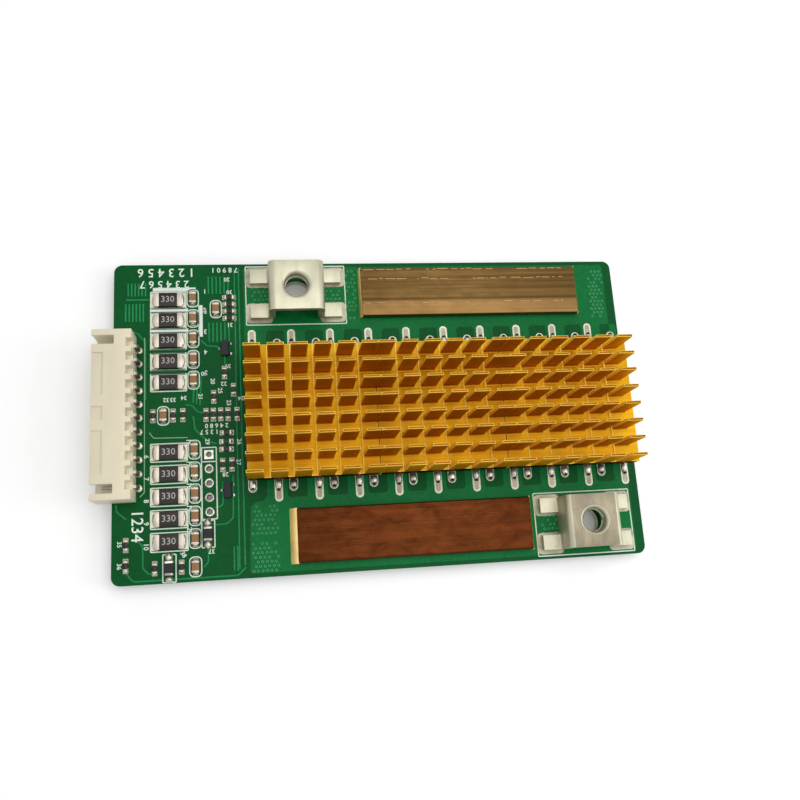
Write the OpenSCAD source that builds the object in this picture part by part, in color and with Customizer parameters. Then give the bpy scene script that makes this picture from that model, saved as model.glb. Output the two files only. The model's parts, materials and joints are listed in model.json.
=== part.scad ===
// Battery management board for a ten-cell pack.
// Millimetres, +Z up. The board lies flat with its component side up. The cell
// connector points towards -X and the power section runs out towards +X.

/* [Board] */
// Board thickness
board_t = 1.6; // [1.2:0.2:2.4]
// Lane beside each row of transistors that holds the terminals and bars
lane_w = 15.6; // [14.8:0.1:18]
// From the header's holes to the first heatsink
logic_l = 6.85; // [6.85:0.05:10]
// From the last heatsink to the board's far end
end_margin = 3.1; // [2.5:0.1:6]
// Corner radius of the board
board_r = 1.5; // [0.5:0.1:3]
// Diameter of the header's plated holes
header_hole_d = 1; // [0.8:0.05:1.3]
// Pitch of the header's holes
header_pitch = 2.54; // [2.2:0.02:2.54]
// Clearance hole under each screw terminal
screw_pass_d = 5.5; // [5.2:0.1:6.5]

/* [Cell connector] */
// Pitch of the connector's pins
pin_pitch = 2.5; // [2.2:0.05:2.5]
// From the board's end to the row of pins
pin_x = 4.5; // [4.2:0.1:5]
// Side of the square pins
pin_s = 0.64; // [0.5:0.02:0.7]
// How far the pins' tails come out under the board
tail_out = 1.5; // [1.3:0.1:2.2]
// Height of the housing
shell_h = 5.8; // [5.4:0.1:7]
// Wall of the housing
shell_wall = 0.9; // [0.7:0.05:1.1]
// From the housing's mouth to the row of pins
shell_reach = 7.1; // [6.8:0.1:8.5]
// From the last pin to the end of the housing
shell_end = 2.4; // [2.2:0.1:3]
// Width of the two coding slots in the housing's top
slot_w = 1.6; // [1.2:0.1:1.8]
// Depth of the coding slots from the mouth
slot_d = 3.75; // [3:0.25:4.25]
// Depth of the shallow pockets along the rim
pocket_t = 0.35; // [0.15:0.05:0.5]

/* [Heatsinks] */
// Fin rows on one heatsink
fin_rows = 8; // [6:1:8]
// Pins along one fin row
fin_cols = 6; // [5:1:6]
// Pitch of the fin rows
fin_pitch = 3.09; // [2.8:0.01:3.15]
// Thickness of a fin
fin_t = 0.5; // [0.4:0.05:1]
// Length of one pin of a fin row
fin_l = 2.85; // [2.5:0.05:2.9]
// Width of the cross cuts
cut_w = 1.2; // [0.8:0.05:1.2]
// Height of a heatsink
sink_h = 10; // [7:0.5:16]
// Thickness of a heatsink's base
sink_base = 2.6; // [1.5:0.1:4]
// Radius at the roots of the fins
root_r = 0.35; // [0.1:0.05:0.6]
// How far a base runs on past its upper fin
sink_ledge = 1.8; // [0.5:0.1:2.5]
// How far the last heatsink's base runs on past its pins
end_ledge = 1.75; // [0.1:0.05:2.4]
// Gap between neighbouring heatsinks
sink_gap = 0.1; // [0.05:0.05:0.5]
// Thickness of the thermal tape
tape_t = 0.6; // [0.2:0.1:1]

/* [Transistors] */
// Pitch of the transistors in a row
fet_pitch = 7.234; // [6.9:0.001:7.3]
// Width of a transistor's moulded body
fet_w = 6.6; // [6.2:0.1:6.7]
// Length of a transistor's moulded body
fet_l = 6.1; // [5.8:0.1:6.2]
// Height of a transistor's moulded body
fet_h = 2.3; // [2.1:0.1:2.5]
// Length of the leads outside the body
fet_lead_l = 2.7; // [2.4:0.1:2.9]
// Spacing of the two outer leads
fet_lead_gap = 4.57; // [4.2:0.01:4.8]
// From lead tip to lead tip across the two rows
fet_rows_w = 26.8; // [24:0.2:29]

/* [Screw terminals] */
// Length of the raised plate along X
plate_l = 10.15; // [9.5:0.05:11]
// Width of the strap along Y
strap_w = 9.4; // [8.6:0.1:9.8]
// Thickness of the strap
strap_t = 1.2; // [1:0.1:1.5]
// Height of the plate's top over the board
plate_z = 6; // [5.5:0.25:8]
// Length over both feet
feet_l = 16.9; // [16:0.1:17.4]
// From a board's long edge to the middle of a terminal or bar
term_edge = 6.3; // [6:0.1:7]
// From the first heatsink's end to the middle of the upper terminal
term_upper_in = 9.65; // [9:0.05:10.5]
// From the board's far end to the middle of the lower terminal
term_lower_in = 11.4; // [10.5:0.1:12]
// Width of the notch between the two toes of a foot
toe_gap = 4.1; // [3:0.1:5]
// Outer radius of the bends at the plate
bend_r = 1.3; // [1.25:0.05:2]
// Core diameter of the screw thread
thread_d = 4.2; // [3.2:0.1:5]
// Depth of the drawn collar below the plate
collar_h = 1.2; // [0.6:0.1:2]

/* [Copper bars] */
// Length of a bar
bar_l = 42.5; // [36:0.5:43]
// Width of a bar
bar_w = 9.5; // [8:0.5:10]
// Thickness of a bar
bar_t = 1.5; // [1:0.25:3]
// Gap between the upper terminal's foot and its bar
bar_gap_upper = 3.8; // [2:0.1:5]
// Gap between the lower terminal's foot and its bar
bar_gap_lower = 2; // [1.5:0.1:4]

/* [Balance resistors] */
// Length of a balance resistor
bleed_l = 5.05; // [4.6:0.05:5.2]
// Width of a balance resistor
bleed_w = 2.6; // [2.4:0.05:3.2]
// Height of a balance resistor
bleed_t = 0.6; // [0.45:0.05:0.8]
// Pitch of the balance resistors
bleed_pitch = 3.91; // [3.6:0.01:3.95]
// From the pin row to the column of balance resistors
bleed_in = 5.15; // [4.9:0.05:5.4]
// From a long edge of the board to the middle one of five balance resistors
bleed_edge = 14.8; // [14:0.1:15]

/* [Small parts] */
// From the balance resistors to the column of filter capacitors
caps_in = 4.4; // [4:0.1:5]
// From the filter capacitors to the header's holes
header_in = 2.5; // [2.3:0.05:3]
// From the board's middle line down to the header's middle hole
header_drop = 12.1; // [11.5:0.1:13]
// Pitch of the leads of a protection circuit
ic_pitch = 0.65; // [0.5:0.05:0.65]
// Pitch of the shunt resistors
shunt_pitch = 4.4; // [3.6:0.1:4.8]

/* [Hidden] */
$fn = 48;
eps = 0.01;

// Counts that the node list fixes
pins = 11;
sinks = 3;
fets_in_row = 10;
bleeds = 10;
header_pins = 5;

// Chain along the board, from the pin row to the far end
bleed_x = pin_x + bleed_in;
caps_x = bleed_x + caps_in;
header_x = caps_x + header_in;
sinks_x0 = header_x + logic_l;
sink_l = fin_cols * fin_l + (fin_cols - 1) * cut_w;
sinks_l = sinks * sink_l + (sinks - 1) * sink_gap;
board_l = sinks_x0 + sinks_l + end_margin;

// Across the board: two rows of transistors between two lanes
board_w = fet_rows_w + 2 * lane_w;
mid_y = board_w / 2;

// Connector, from the board's own corner
shell_l = (pins - 1) * pin_pitch + 2 * shell_end;
shell_x0 = pin_x - shell_reach;
pin_bend = 0.12;
shell_x1 = pin_x - pin_s / 2 - pin_bend;
shell_back_wall = 1.7;
pin_z = shell_h / 2;
pin_tip_in = 1.4;
pin_hole_d = 1.1 * sqrt(2) * pin_s;
slot_in = 1.9;
slot_y = shell_l / 2 - slot_in;
pocket_d = 2.05;
pocket_ramp = 0.4;
pocket_side_w = 7.6;
pocket_side_y = 6.9;
pocket_mid_w = 2.3;
comb_d = 0.95;
comb_w = 1.5;
comb_floor = pin_z + pin_s / 2 + 0.2;

// Power section
sink_w = (fin_rows - 1) * fin_pitch + fin_t;
sink_drop = 1.35;
sinks_y = mid_y - sink_drop;
sink_z = fet_h + tape_t;
tape_in = 0.6;
fet_rows_slip = 1.05;
fet_rows_x = sinks_x0 + sinks_l / 2 + fet_rows_slip;
fet_row_slip = 0.27;
fet_tab_l = 1.1;
fet_tab_w = 5.3;
fet_lead_w = 0.76;
fet_lead_t = 0.5;
fet_len = fet_lead_l + fet_l + fet_tab_l;
fet_draft = 0.2;

// Terminals and bars
term_upper = [sinks_x0 + term_upper_in, board_w - term_edge];
term_lower = [board_l - term_lower_in, term_edge];
toe_l = (feet_l - plate_l) / 2;
foot_r = 0.4;
collar_wall = 0.9;
entry_r = 0.8;
bar_in = (feet_l + bar_l) / 2;
bar_rise = 0.45;
bar_upper = [term_upper[0] + bar_in + bar_gap_upper, board_w - term_edge];
bar_lower = [term_lower[0] - bar_in - bar_gap_lower, term_edge + bar_rise];
bar_chamfer = 0.15;

// Small parts
chip_cap = 0.18;
chip_step = 0.04;
header_y = mid_y - header_drop;
ic_y = 11;

// Balance resistors 0 to 4 hang from the upper edge, 5 to 9 from the lower one
function bleed_y(k) =
    (k < bleeds / 2 ? board_w - bleed_edge : bleed_edge) + (2 - k % 5) * bleed_pitch;

// ---------- placing ----------

// From the board's corner on its top face to the part's own frame
module on_board() {
    translate([-(board_l + shell_x0) / 2, -mid_y, tail_out + board_t]) children();
}

// The same corner on the underside, with +Z pointing down into the open
module under_board() {
    on_board() translate([0, 0, -board_t]) mirror([0, 0, 1]) children();
}

// A YZ section of length l along X, centred on X
module along_x(l) {
    translate([-l / 2, 0, 0]) rotate([90, 0, 90]) linear_extrude(l) children();
}

// An XZ section of length l along Y, centred on Y
module along_y(l) {
    translate([0, l / 2, 0]) rotate([90, 0, 0]) linear_extrude(l) children();
}

// A quarter ring between two radii, in the quadrant that starts at angle a
module quarter_ring(r_in, r_out, a) {
    rotate(a) intersection() {
        difference() {
            circle(r_out);
            circle(r_in);
        }
        square(r_out);
    }
}

// ---------- circuit board ----------

module board_outline() {
    translate([board_r, 0]) square([board_l - 2 * board_r, board_w]);
    translate([0, board_r]) square([board_l, board_w - 2 * board_r]);
    for (x = [board_r, board_l - board_r], y = [board_r, board_w - board_r])
        translate([x, y]) circle(board_r);
}

module board_holes() {
    for (k = [0:pins - 1])
        translate([pin_x, pin_y(k)]) circle(d = pin_hole_d);
    for (k = [0:header_pins - 1])
        translate([header_x, header_y + (k - 2) * header_pitch]) circle(d = header_hole_d);
    for (at = [term_upper, term_lower])
        translate(at) circle(d = screw_pass_d);
}

module circuit_board() {
    color("seagreen") on_board() translate([0, 0, -board_t])
        linear_extrude(board_t) difference() {
            board_outline();
            board_holes();
        }
}

// ---------- heatsinks ----------

// One channel between two fins, with rounded roots
module channel(w, h) {
    translate([0, root_r]) square([w, h - root_r]);
    translate([root_r, 0]) square([w - 2 * root_r, 2 * root_r]);
    for (x = [root_r, w - root_r]) translate([x, root_r]) circle(root_r);
}

// The drawn section: a base that runs on past the upper fin as a bare ledge
module sink_section() {
    cut_h = sink_h - sink_base + eps;
    difference() {
        translate([-sink_w / 2, 0]) square([sink_w + sink_ledge, sink_h]);
        for (k = [0:fin_rows - 2])
            translate([-sink_w / 2 + fin_t + k * fin_pitch, sink_base])
                channel(fin_pitch - fin_t, cut_h);
        translate([sink_w / 2, sink_base]) channel(sink_ledge + 2 * root_r, cut_h);
    }
}

module heatsink(k) {
    cut_y = sink_w + sink_ledge + 2 * eps;
    color("goldenrod") on_board() translate([sink_x(k), sinks_y, sink_z]) {
        difference() {
            along_x(sink_l) sink_section();
            for (c = [1:fin_cols - 1])
                translate([-sink_l / 2 + c * (fin_l + cut_w) - cut_w, -sink_w / 2 - eps,
                           sink_base])
                    cube([cut_w, cut_y, sink_h]);
        }
        if (k == sinks - 1)
            translate([sink_l / 2 - fin_l / 2, -sink_w / 2, 0])
                cube([fin_l / 2 + end_ledge, sink_w + sink_ledge, sink_base]);
    }
}

module thermal_tape(k) {
    color("lightgray") on_board()
        translate([sink_x(k), sinks_y, fet_h + tape_t / 2])
            cube([sink_l - 2 * tape_in, sink_w - 2 * tape_in, tape_t], center = true);
}

function sink_x(k) = sinks_x0 + sink_l / 2 + k * (sink_l + sink_gap);

// ---------- moulded transistors and circuits ----------

// A gull-wing lead of width w: tip at y = 0, shank at height z, ending at y = reach
module gull_lead(reach, z, w, t) {
    foot = 0.4 * reach;
    along_x(w) polygon([
        [0, 0], [foot, 0], [foot + 0.7 * z, z], [reach, z],
        [reach, z + t], [foot + 0.7 * z - 0.4 * t, z + t], [foot - 0.4 * t, t], [0, t]
    ]);
}

// A moulded block centred on X and Y, drawn in by draft above and below its waist
module moulding(l, w, z0, z1, draft) {
    waist = (z0 + z1) / 2;
    intersection() {
        along_y(w) polygon([
            [-l / 2 + draft, z0], [l / 2 - draft, z0], [l / 2, waist],
            [l / 2 - draft, z1], [-l / 2 + draft, z1], [-l / 2, waist]
        ]);
        along_x(l) polygon([
            [-w / 2 + draft, z0], [w / 2 - draft, z0], [w / 2, waist],
            [w / 2 - draft, z1], [-w / 2 + draft, z1], [-w / 2, waist]
        ]);
    }
}

// Tips of the leads on y = 0, cooling tab towards +Y, standing on z = 0
module power_package() {
    shank_z = 0.9;
    overlap = 1;
    translate([0, fet_lead_l + fet_l / 2, 0]) moulding(fet_w, fet_l, 0, fet_h, fet_draft);
    for (x = [-1, 1])
        translate([x * fet_lead_gap / 2, 0, 0])
            gull_lead(fet_lead_l + overlap, shank_z, fet_lead_w, fet_lead_t);
    translate([-fet_lead_w / 2, fet_lead_l - overlap, shank_z])
        cube([fet_lead_w, 2 * overlap, fet_lead_t]);
    translate([-fet_tab_w / 2, fet_len - fet_tab_l - overlap, 0])
        cube([fet_tab_w, fet_tab_l + overlap, fet_lead_t]);
}

// Transistors 0 to 9 are the lower row, 10 to 19 the upper row, both from -X to +X
module power_transistor(k) {
    upper = k >= fets_in_row;
    side = upper ? 1 : -1;
    x = fet_rows_x + (k % fets_in_row - (fets_in_row - 1) / 2) * fet_pitch
        + side * fet_row_slip;
    color("dimgray") on_board()
        translate([x, mid_y + side * fet_rows_w / 2, 0])
            rotate(upper ? 180 : 0) power_package();
}

// ---------- screw terminals ----------

// XZ section of the strap: feet on z = 0, raised plate in the middle
module strap_section() {
    half = plate_l / 2;
    translate([-half + bend_r, plate_z - strap_t]) square([plate_l - 2 * bend_r, strap_t]);
    for (side = [0, 1]) mirror([side, 0]) {
        translate([half - bend_r, plate_z - bend_r])
            quarter_ring(bend_r - strap_t, bend_r, 0);
        translate([half - strap_t, strap_t + foot_r])
            square([strap_t, plate_z - bend_r - strap_t - foot_r]);
        translate([half + foot_r, strap_t + foot_r])
            quarter_ring(foot_r, foot_r + strap_t, 180);
        translate([half + foot_r, 0]) square([toe_l - foot_r, strap_t]);
    }
}

// The rounded mouth that drawing the collar leaves round the thread
module thread_entry() {
    rotate_extrude() difference() {
        translate([0, plate_z - entry_r]) square([thread_d / 2 + entry_r, entry_r + eps]);
        translate([thread_d / 2 + entry_r, plate_z - entry_r]) circle(entry_r);
    }
}

module screw_terminal(at) {
    color("gainsboro") on_board() translate([at[0], at[1], 0]) difference() {
        union() {
            along_y(strap_w) strap_section();
            translate([0, 0, plate_z - strap_t - collar_h])
                cylinder(h = collar_h + eps, d = thread_d + 2 * collar_wall);
        }
        cylinder(h = plate_z + eps, d = thread_d);
        thread_entry();
        for (side = [-1, 1])
            translate([side * (plate_l + toe_l) / 2, 0, strap_t])
                cube([toe_l, toe_gap, 2 * strap_t + eps], center = true);
    }
}

// ---------- copper bars ----------

module copper_bar(at) {
    color("peru") on_board() translate([at[0], at[1], 0])
        along_x(bar_l) polygon([
            [-bar_w / 2, 0], [bar_w / 2, 0],
            [bar_w / 2, bar_t - bar_chamfer], [bar_w / 2 - bar_chamfer, bar_t],
            [-bar_w / 2 + bar_chamfer, bar_t], [-bar_w / 2, bar_t - bar_chamfer]
        ]);
}

// ---------- cell connector ----------

function pin_y(k) = mid_y + (k - (pins - 1) / 2) * pin_pitch;

// Right-angle pin as an XZ section: tip towards -X, tail down through the board
module pin_section() {
    s = pin_s;
    top = pin_z + s / 2;
    tip = shell_x0 + pin_tip_in;
    x1 = pin_x + s / 2;
    tail = -board_t - tail_out;
    r = pin_bend + s;
    polygon([[tip, pin_z - s / 5], [tip, pin_z + s / 5], [tip + s / 2, top],
             [x1 - r, top], [x1 - r, top - s], [tip + s / 2, top - s]]);
    translate([x1 - r, top - r]) quarter_ring(pin_bend, r, 0);
    polygon([[x1 - s, top - r], [x1, top - r], [x1, tail + s / 2],
             [x1 - s * 0.3, tail], [x1 - s * 0.7, tail], [x1 - s, tail + s / 2]]);
}

module connector_pins() {
    color("silver") on_board()
        for (k = [0:pins - 1])
            translate([0, pin_y(k), 0]) along_y(pin_s) pin_section();
}

// A shallow pocket in the rim of the housing's top, running out in a short ramp
module rim_pocket(y, w) {
    translate([shell_x0, y, shell_h]) along_y(w) polygon([
        [-eps, eps], [-eps, -pocket_t], [pocket_d - pocket_ramp, -pocket_t],
        [pocket_d, 0], [pocket_d, eps]
    ]);
}

module connector_housing() {
    depth = shell_x1 - shell_x0;
    inner_l = shell_l - 2 * shell_wall;
    color("ivory") on_board() difference() {
        translate([shell_x0, mid_y - shell_l / 2, 0]) cube([depth, shell_l, shell_h]);
        // the cavity for the mating plug
        translate([shell_x0 - eps, mid_y - inner_l / 2, shell_wall])
            cube([depth - shell_back_wall + eps, inner_l, shell_h - 2 * shell_wall]);
        translate([0, mid_y, 0]) {
            for (side = [-1, 1]) {
                // coding slots
                translate([shell_x0 - eps, side * slot_y - slot_w / 2, shell_h - shell_wall - eps])
                    cube([slot_d + eps, slot_w, shell_wall + 2 * eps]);
                rim_pocket(side * pocket_side_y, pocket_side_w);
            }
            rim_pocket(0, pocket_mid_w);
        }
        for (k = [0:pins - 1]) translate([0, pin_y(k), 0]) {
            // comb along the back edge, and the seat of each pin
            translate([shell_x1 - comb_d, -comb_w / 2, comb_floor])
                cube([comb_d + eps, comb_w, shell_h]);
            translate([shell_x1 - depth, -pin_s / 2, pin_z - pin_s / 2])
                cube([depth + eps, pin_s, pin_s]);
        }
    }
}

// ---------- chip parts ----------

// A chip part along X with wrapped end caps, standing on z = 0
module chip(l, w, h) {
    cap = chip_cap * l;
    translate([-l / 2 + cap / 2, -w / 2 + chip_step, 0])
        cube([l - cap, w - 2 * chip_step, h - chip_step]);
    for (x = [-l / 2, l / 2 - cap]) translate([x, -w / 2, 0]) cube([cap, w, h]);
}

module balance_resistor(k) {
    color("#2b2622") on_board()
        translate([bleed_x, bleed_y(k), 0]) chip(bleed_l, bleed_w, bleed_t);
}

// Sizes of the chip parts as [length, width, height]
chip_0603 = [1.6, 0.8, 0.5];
chip_0805 = [2, 1.25, 0.8];
chip_2512 = [6.35, 3.2, 0.7];

// Chip parts of one size round one point; each place is [dx, dy, turn]
module chips_round(at, size, places) {
    for (p = places)
        translate([at[0] + p[0], at[1] + p[1], 0]) rotate(p[2])
            chip(size[0], size[1], size[2]);
}

module filter_capacitors() {
    column_rise = 0.35;
    color("tan") on_board() {
        for (k = [0:bleeds - 1])
            chips_round([caps_x, bleed_y(k) + column_rise], chip_0805, [[0, 0, 90]]);
        chips_round([caps_x, 0], chip_0805, [[0, 2.5, 90]]);
        chips_round([bleed_x, mid_y], chip_0805, [[-0.95, 0.3, 90]]);
        chips_round([header_x, board_w], chip_0805, [[1.65, -8.8, 90]]);
    }
}

// Small chips by the board's lower corner, in the gap between the two groups of balance
// resistors, and round the logic between the header and the heatsinks
module chip_resistors() {
    color("#2b2622") on_board() {
        chips_round([0, 0], chip_0603, [[2.4, 6.8, 90], [2.4, 3.3, 90]]);
        chips_round([bleed_x, 0], chip_0603, [[-2.45, 2.6, 90], [2.05, 2.6, 90]]);
        chips_round([bleed_x, mid_y], chip_0603,
            [[-2.75, 0.3, 90], [0.75, 0.3, 90], [2.45, 0.3, 90]]);
        chips_round([header_x, mid_y], chip_0603, [
            for (k = [0:3]) [1.3 * k - 0.4, 0.2, 90],
            [5.1, 0.2, 90], [1, 3.5, 90], [4.55, 4.7, 90],
            [3.2, -3.2, 0], [3.1, -4.8, 0], [3.1, -6.2, 0],
            [2.4, -9, 90], [4, -9, 90],
            [3, 8, 90]
        ]);
        chips_round([header_x, board_w], chip_0603,
            [for (k = [0:3]) [4.1, -6.6 - 1.35 * k, 0]]);
    }
}

// Moulded two-lead diode along X
module diode_package() {
    body = [2.7, 1.6, 1.1];
    lead = [3.7, 0.6, 0.15];
    moulding(body[0], body[1], 0, body[2], 0.1);
    translate([-lead[0] / 2, -lead[1] / 2, 0]) cube(lead);
}

module diodes() {
    color("dimgray") on_board()
        for (at = [[header_x - 0.3, 8], [bleed_x, 2.5]])
            translate(at) rotate(90) diode_package();
}

// Three-lead package: one lead on -X, two on +X, standing on z = 0
module three_lead_package() {
    body = [1.3, 2.9, 1];
    lead = [0.4, 0.12];
    reach = 0.75;
    span = 2.4;
    shank_z = 0.4;
    moulding(body[0], body[1], 0.05, body[2], 0.08);
    translate([-span / 2, 0, 0]) rotate(-90) gull_lead(reach, shank_z, lead[0], lead[1]);
    for (y = [-0.95, 0.95])
        translate([span / 2, y, 0]) rotate(90) gull_lead(reach, shank_z, lead[0], lead[1]);
}

module small_transistors() {
    color("dimgray") on_board()
        for (y = [mid_y - 13.5, mid_y + 12.5])
            translate([header_x + 3.2, y]) three_lead_package();
}

// ---------- underside ----------

// Protection circuit: leads in two rows along X
module protection_package() {
    leads = 14;
    body = [9.7, 4.4, 1.1];
    lead = [0.25, 0.15];
    reach = 1.2;
    span = 6.4;
    shank_z = 0.5;
    moulding(body[0], body[1], 0.1, body[2], 0.1);
    for (side = [0, 180], k = [0:leads - 1])
        rotate(side) translate([(k - (leads - 1) / 2) * ic_pitch, -span / 2, 0])
            gull_lead(reach, shank_z, lead[0], lead[1]);
}

module protection_ic(k) {
    color("#26262a") under_board()
        translate([sinks_x0, mid_y + (k == 0 ? 1 : -1) * ic_y, 0])
            rotate(90) protection_package();
}

module balance_transistors() {
    color("#26262a") under_board()
        for (k = [0:bleeds - 1])
            translate([bleed_x, bleed_y(k), 0]) three_lead_package();
}

module shunt_resistors() {
    shunts = 4;
    shunt_in = 12;
    color("#2b2622") under_board()
        for (k = [0:shunts - 1])
            translate([term_lower[0] - shunt_in, mid_y + (k - (shunts - 1) / 2) * shunt_pitch, 0])
                chip(chip_2512[0], chip_2512[1], chip_2512[2]);
}

// ---------- nodes ----------

circuit_board();
for (k = [0:sinks - 1]) {
    heatsink(k);
    thermal_tape(k);
}
for (k = [0:2 * fets_in_row - 1])
    power_transistor(k);
screw_terminal(term_upper);  // screw_terminal_upper
screw_terminal(term_lower);  // screw_terminal_lower
copper_bar(bar_upper);  // copper_bar_upper
copper_bar(bar_lower);  // copper_bar_lower
connector_housing();
connector_pins();
for (k = [0:bleeds - 1])
    balance_resistor(k);
filter_capacitors();
diodes();
chip_resistors();
small_transistors();
protection_ic(0);  // protection_ic_1
protection_ic(1);  // protection_ic_2
balance_transistors();
shunt_resistors();
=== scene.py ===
import json
import math
import random

import bmesh
import bpy
from bpy.props import FloatProperty, FloatVectorProperty, PointerProperty
from bpy.types import Operator, Panel, PropertyGroup
from mathutils import Matrix, Vector


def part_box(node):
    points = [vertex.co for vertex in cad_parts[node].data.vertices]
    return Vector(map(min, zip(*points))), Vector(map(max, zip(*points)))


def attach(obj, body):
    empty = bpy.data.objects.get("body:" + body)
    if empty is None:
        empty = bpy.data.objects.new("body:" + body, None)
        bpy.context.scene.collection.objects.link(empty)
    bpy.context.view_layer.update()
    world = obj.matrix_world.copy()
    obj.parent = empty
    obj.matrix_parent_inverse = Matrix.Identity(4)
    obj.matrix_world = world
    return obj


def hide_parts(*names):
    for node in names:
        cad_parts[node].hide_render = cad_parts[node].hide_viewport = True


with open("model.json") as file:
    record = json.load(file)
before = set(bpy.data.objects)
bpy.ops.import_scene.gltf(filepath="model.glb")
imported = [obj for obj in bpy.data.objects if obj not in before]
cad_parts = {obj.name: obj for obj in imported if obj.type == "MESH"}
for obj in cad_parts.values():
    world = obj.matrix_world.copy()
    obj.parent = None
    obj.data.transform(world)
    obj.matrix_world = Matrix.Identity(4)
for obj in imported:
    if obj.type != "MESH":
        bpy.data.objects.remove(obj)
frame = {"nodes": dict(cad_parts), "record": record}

bl_info = {
    "name": "Battery Management Board",
    "version": (1, 0, 0),
    "blender": (4, 5, 0),
    "location": "View3D > Sidebar > Board",
    "description": "Dresses a battery management board: mask, print, solder and parts",
    "category": "Object",
}

MM = 0.001

# ---------- places ----------

BOARD_LOW, BOARD_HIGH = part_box("circuit_board")
BOARD_L, BOARD_W, BOARD_T = (BOARD_HIGH - BOARD_LOW) / MM

# From board millimetres, with the corner of the component side at 0, to the frame's metres
TO_ROW = Matrix.Translation((BOARD_LOW.x, BOARD_LOW.y, BOARD_HIGH.z)) @ Matrix.Scale(MM, 4)
TO_BOARD = TO_ROW.inverted()


def place(x, y, z=0.0):
    """A point of the board's own millimetres in the frame's metres."""
    return TO_ROW @ Vector((x, y, z))


class Extent:
    """The box round some points, in board millimetres."""

    def __init__(self, points):
        points = [TO_BOARD @ Vector(p) for p in points]
        self.low = Vector(min(p[i] for p in points) for i in range(3))
        self.high = Vector(max(p[i] for p in points) for i in range(3))
        self.size = self.high - self.low
        self.mid = (self.low + self.high) / 2
        self.long = 0 if self.size.x >= self.size.y else 1


def spot(node):
    """The extent of a whole CAD node."""
    return Extent(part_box(node))


def corners(node):
    """The corner points of a CAD node's mesh, in board millimetres."""
    return [TO_BOARD @ v.co for v in frame["nodes"][node].data.vertices]


def mount(name):
    """A mount of the record, and where it is in board millimetres."""
    found = next(m for m in frame["record"]["mounts"] if m["name"] == name)
    return found, TO_BOARD @ Vector(found["pos_m"])


def numbered(stem, first, last):
    return [f"{stem}_{k}" for k in range(first, last + 1)]


# ---------- meshes ----------


def linked(name, data):
    """A new object in the scene."""
    thing = bpy.data.objects.new(name, data)
    bpy.context.scene.collection.objects.link(thing)
    return thing


def merged(*nodes):
    """The CAD nodes' loose triangles joined into flat faces, in one bmesh."""
    bm = bmesh.new()
    for node in nodes:
        bm.from_mesh(frame["nodes"][node].data)
    bmesh.ops.remove_doubles(bm, verts=bm.verts, dist=0.001 * MM)
    bmesh.ops.dissolve_limit(
        bm, angle_limit=math.radians(1), verts=bm.verts, edges=bm.edges, delimit={"NORMAL"}
    )
    return bm


def solids(bm):
    """The separate solids of a mesh, as pairs of their extent and their faces."""
    waiting = set(bm.faces)
    found = []
    while waiting:
        group, front = set(), [waiting.pop()]
        while front:
            face = front.pop()
            group.add(face)
            for edge in face.edges:
                for other in edge.link_faces:
                    if other in waiting:
                        waiting.discard(other)
                        front.append(other)
        found.append((Extent({v.co.copy().freeze() for f in group for v in f.verts}), group))
    return sorted(found, key=lambda solid: tuple(round(c, 2) for c in solid[0].mid))


def extents(node):
    """The extent of each separate solid of a CAD node."""
    bm = merged(node)
    found = [extent for extent, _ in solids(bm)]
    bm.free()
    return found


def round_edges(bm, edges, radius, segments, clamp=False):
    """Round some edges; with clamp, no further than the faces beside them allow."""
    bmesh.ops.bevel(bm, geom=edges, offset=radius, segments=segments, profile=0.5,
                    affect="EDGES", clamp_overlap=clamp)


def soften(bm, radius, segments=2):
    """Round every edge that is sharper than 30 degrees."""
    sharp = [e for e in bm.edges if e.is_manifold and e.calc_face_angle(0) > math.radians(30)]
    round_edges(bm, sharp, radius, segments, clamp=True)


def mesh_of(bm, name, smooth=True):
    """A mesh with the shape of bm, which is freed."""
    mesh = bpy.data.meshes.new(name)
    bm.normal_update()
    bm.to_mesh(mesh)
    bm.free()
    if smooth:
        mesh.shade_smooth()
        mesh.set_sharp_from_angle(angle=math.radians(32))
    return mesh


def show(name, mesh, slot, *nodes, looks=()):
    """Link a finished mesh as a piece that rides on the board and stands for CAD nodes."""
    piece = linked(name, mesh)
    for look in looks:
        mesh.materials.append(finish(look))
    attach(piece, "root")
    if nodes:
        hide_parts(*nodes)


def show_shape(name, bm, slot, *nodes, looks):
    """Show a shape that was built face by face."""
    show(name, mesh_of(bm, name), slot, *nodes, looks=looks)


def points_mesh(points, reaches=()):
    """Bare points in board millimetres; the tree of domes reads how far each one reaches."""
    mesh = bpy.data.meshes.new("points")
    mesh.from_pydata([place(*p) for p in points], [], [])
    if reaches:
        layer = mesh.attributes.new("reach", "FLOAT_VECTOR", "POINT")
        layer.data.foreach_set("vector", [c * MM for reach in reaches for c in reach])
    return mesh


def lines_mesh(lines):
    """Polylines in board millimetres; one that ends where it starts is closed."""
    verts, edges = [], []
    for line in lines:
        closed = line[0] == line[-1]
        line = line[:-1] if closed else line
        first = len(verts)
        verts += [place(*p) for p in line]
        edges += [(first + k, first + k + 1) for k in range(len(line) - 1)]
        if closed:
            edges.append((first + len(line) - 1, first))
    mesh = bpy.data.meshes.new("lines")
    mesh.from_pydata(verts, edges, [])
    return mesh


def below(mesh, turned=False):
    """A mesh of the component side moved to the underside; turned keeps figures readable."""
    swap = Matrix.Translation((0, 0, BOARD_LOW.z + BOARD_HIGH.z)) @ Matrix.Scale(-1, 4, (0, 0, 1))
    mesh.transform(swap)
    if not turned:
        mesh.flip_normals()
    return mesh


def frame_line(x0, y0, x1, y1):
    """A closed rectangle of points."""
    return [(x0, y0), (x1, y0), (x1, y1), (x0, y1), (x0, y0)]


def box_about(middle, half_x, half_y):
    """The sides of a box round a point, as (x0, y0, x1, y1)."""
    return middle.x - half_x, middle.y - half_y, middle.x + half_x, middle.y + half_y


def frame_round(body, gap_x, gap_y):
    """A rectangle of points round a part, with a gap on every side."""
    return frame_line(*box_about(body.mid, body.size.x / 2 + gap_x, body.size.y / 2 + gap_y))


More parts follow.
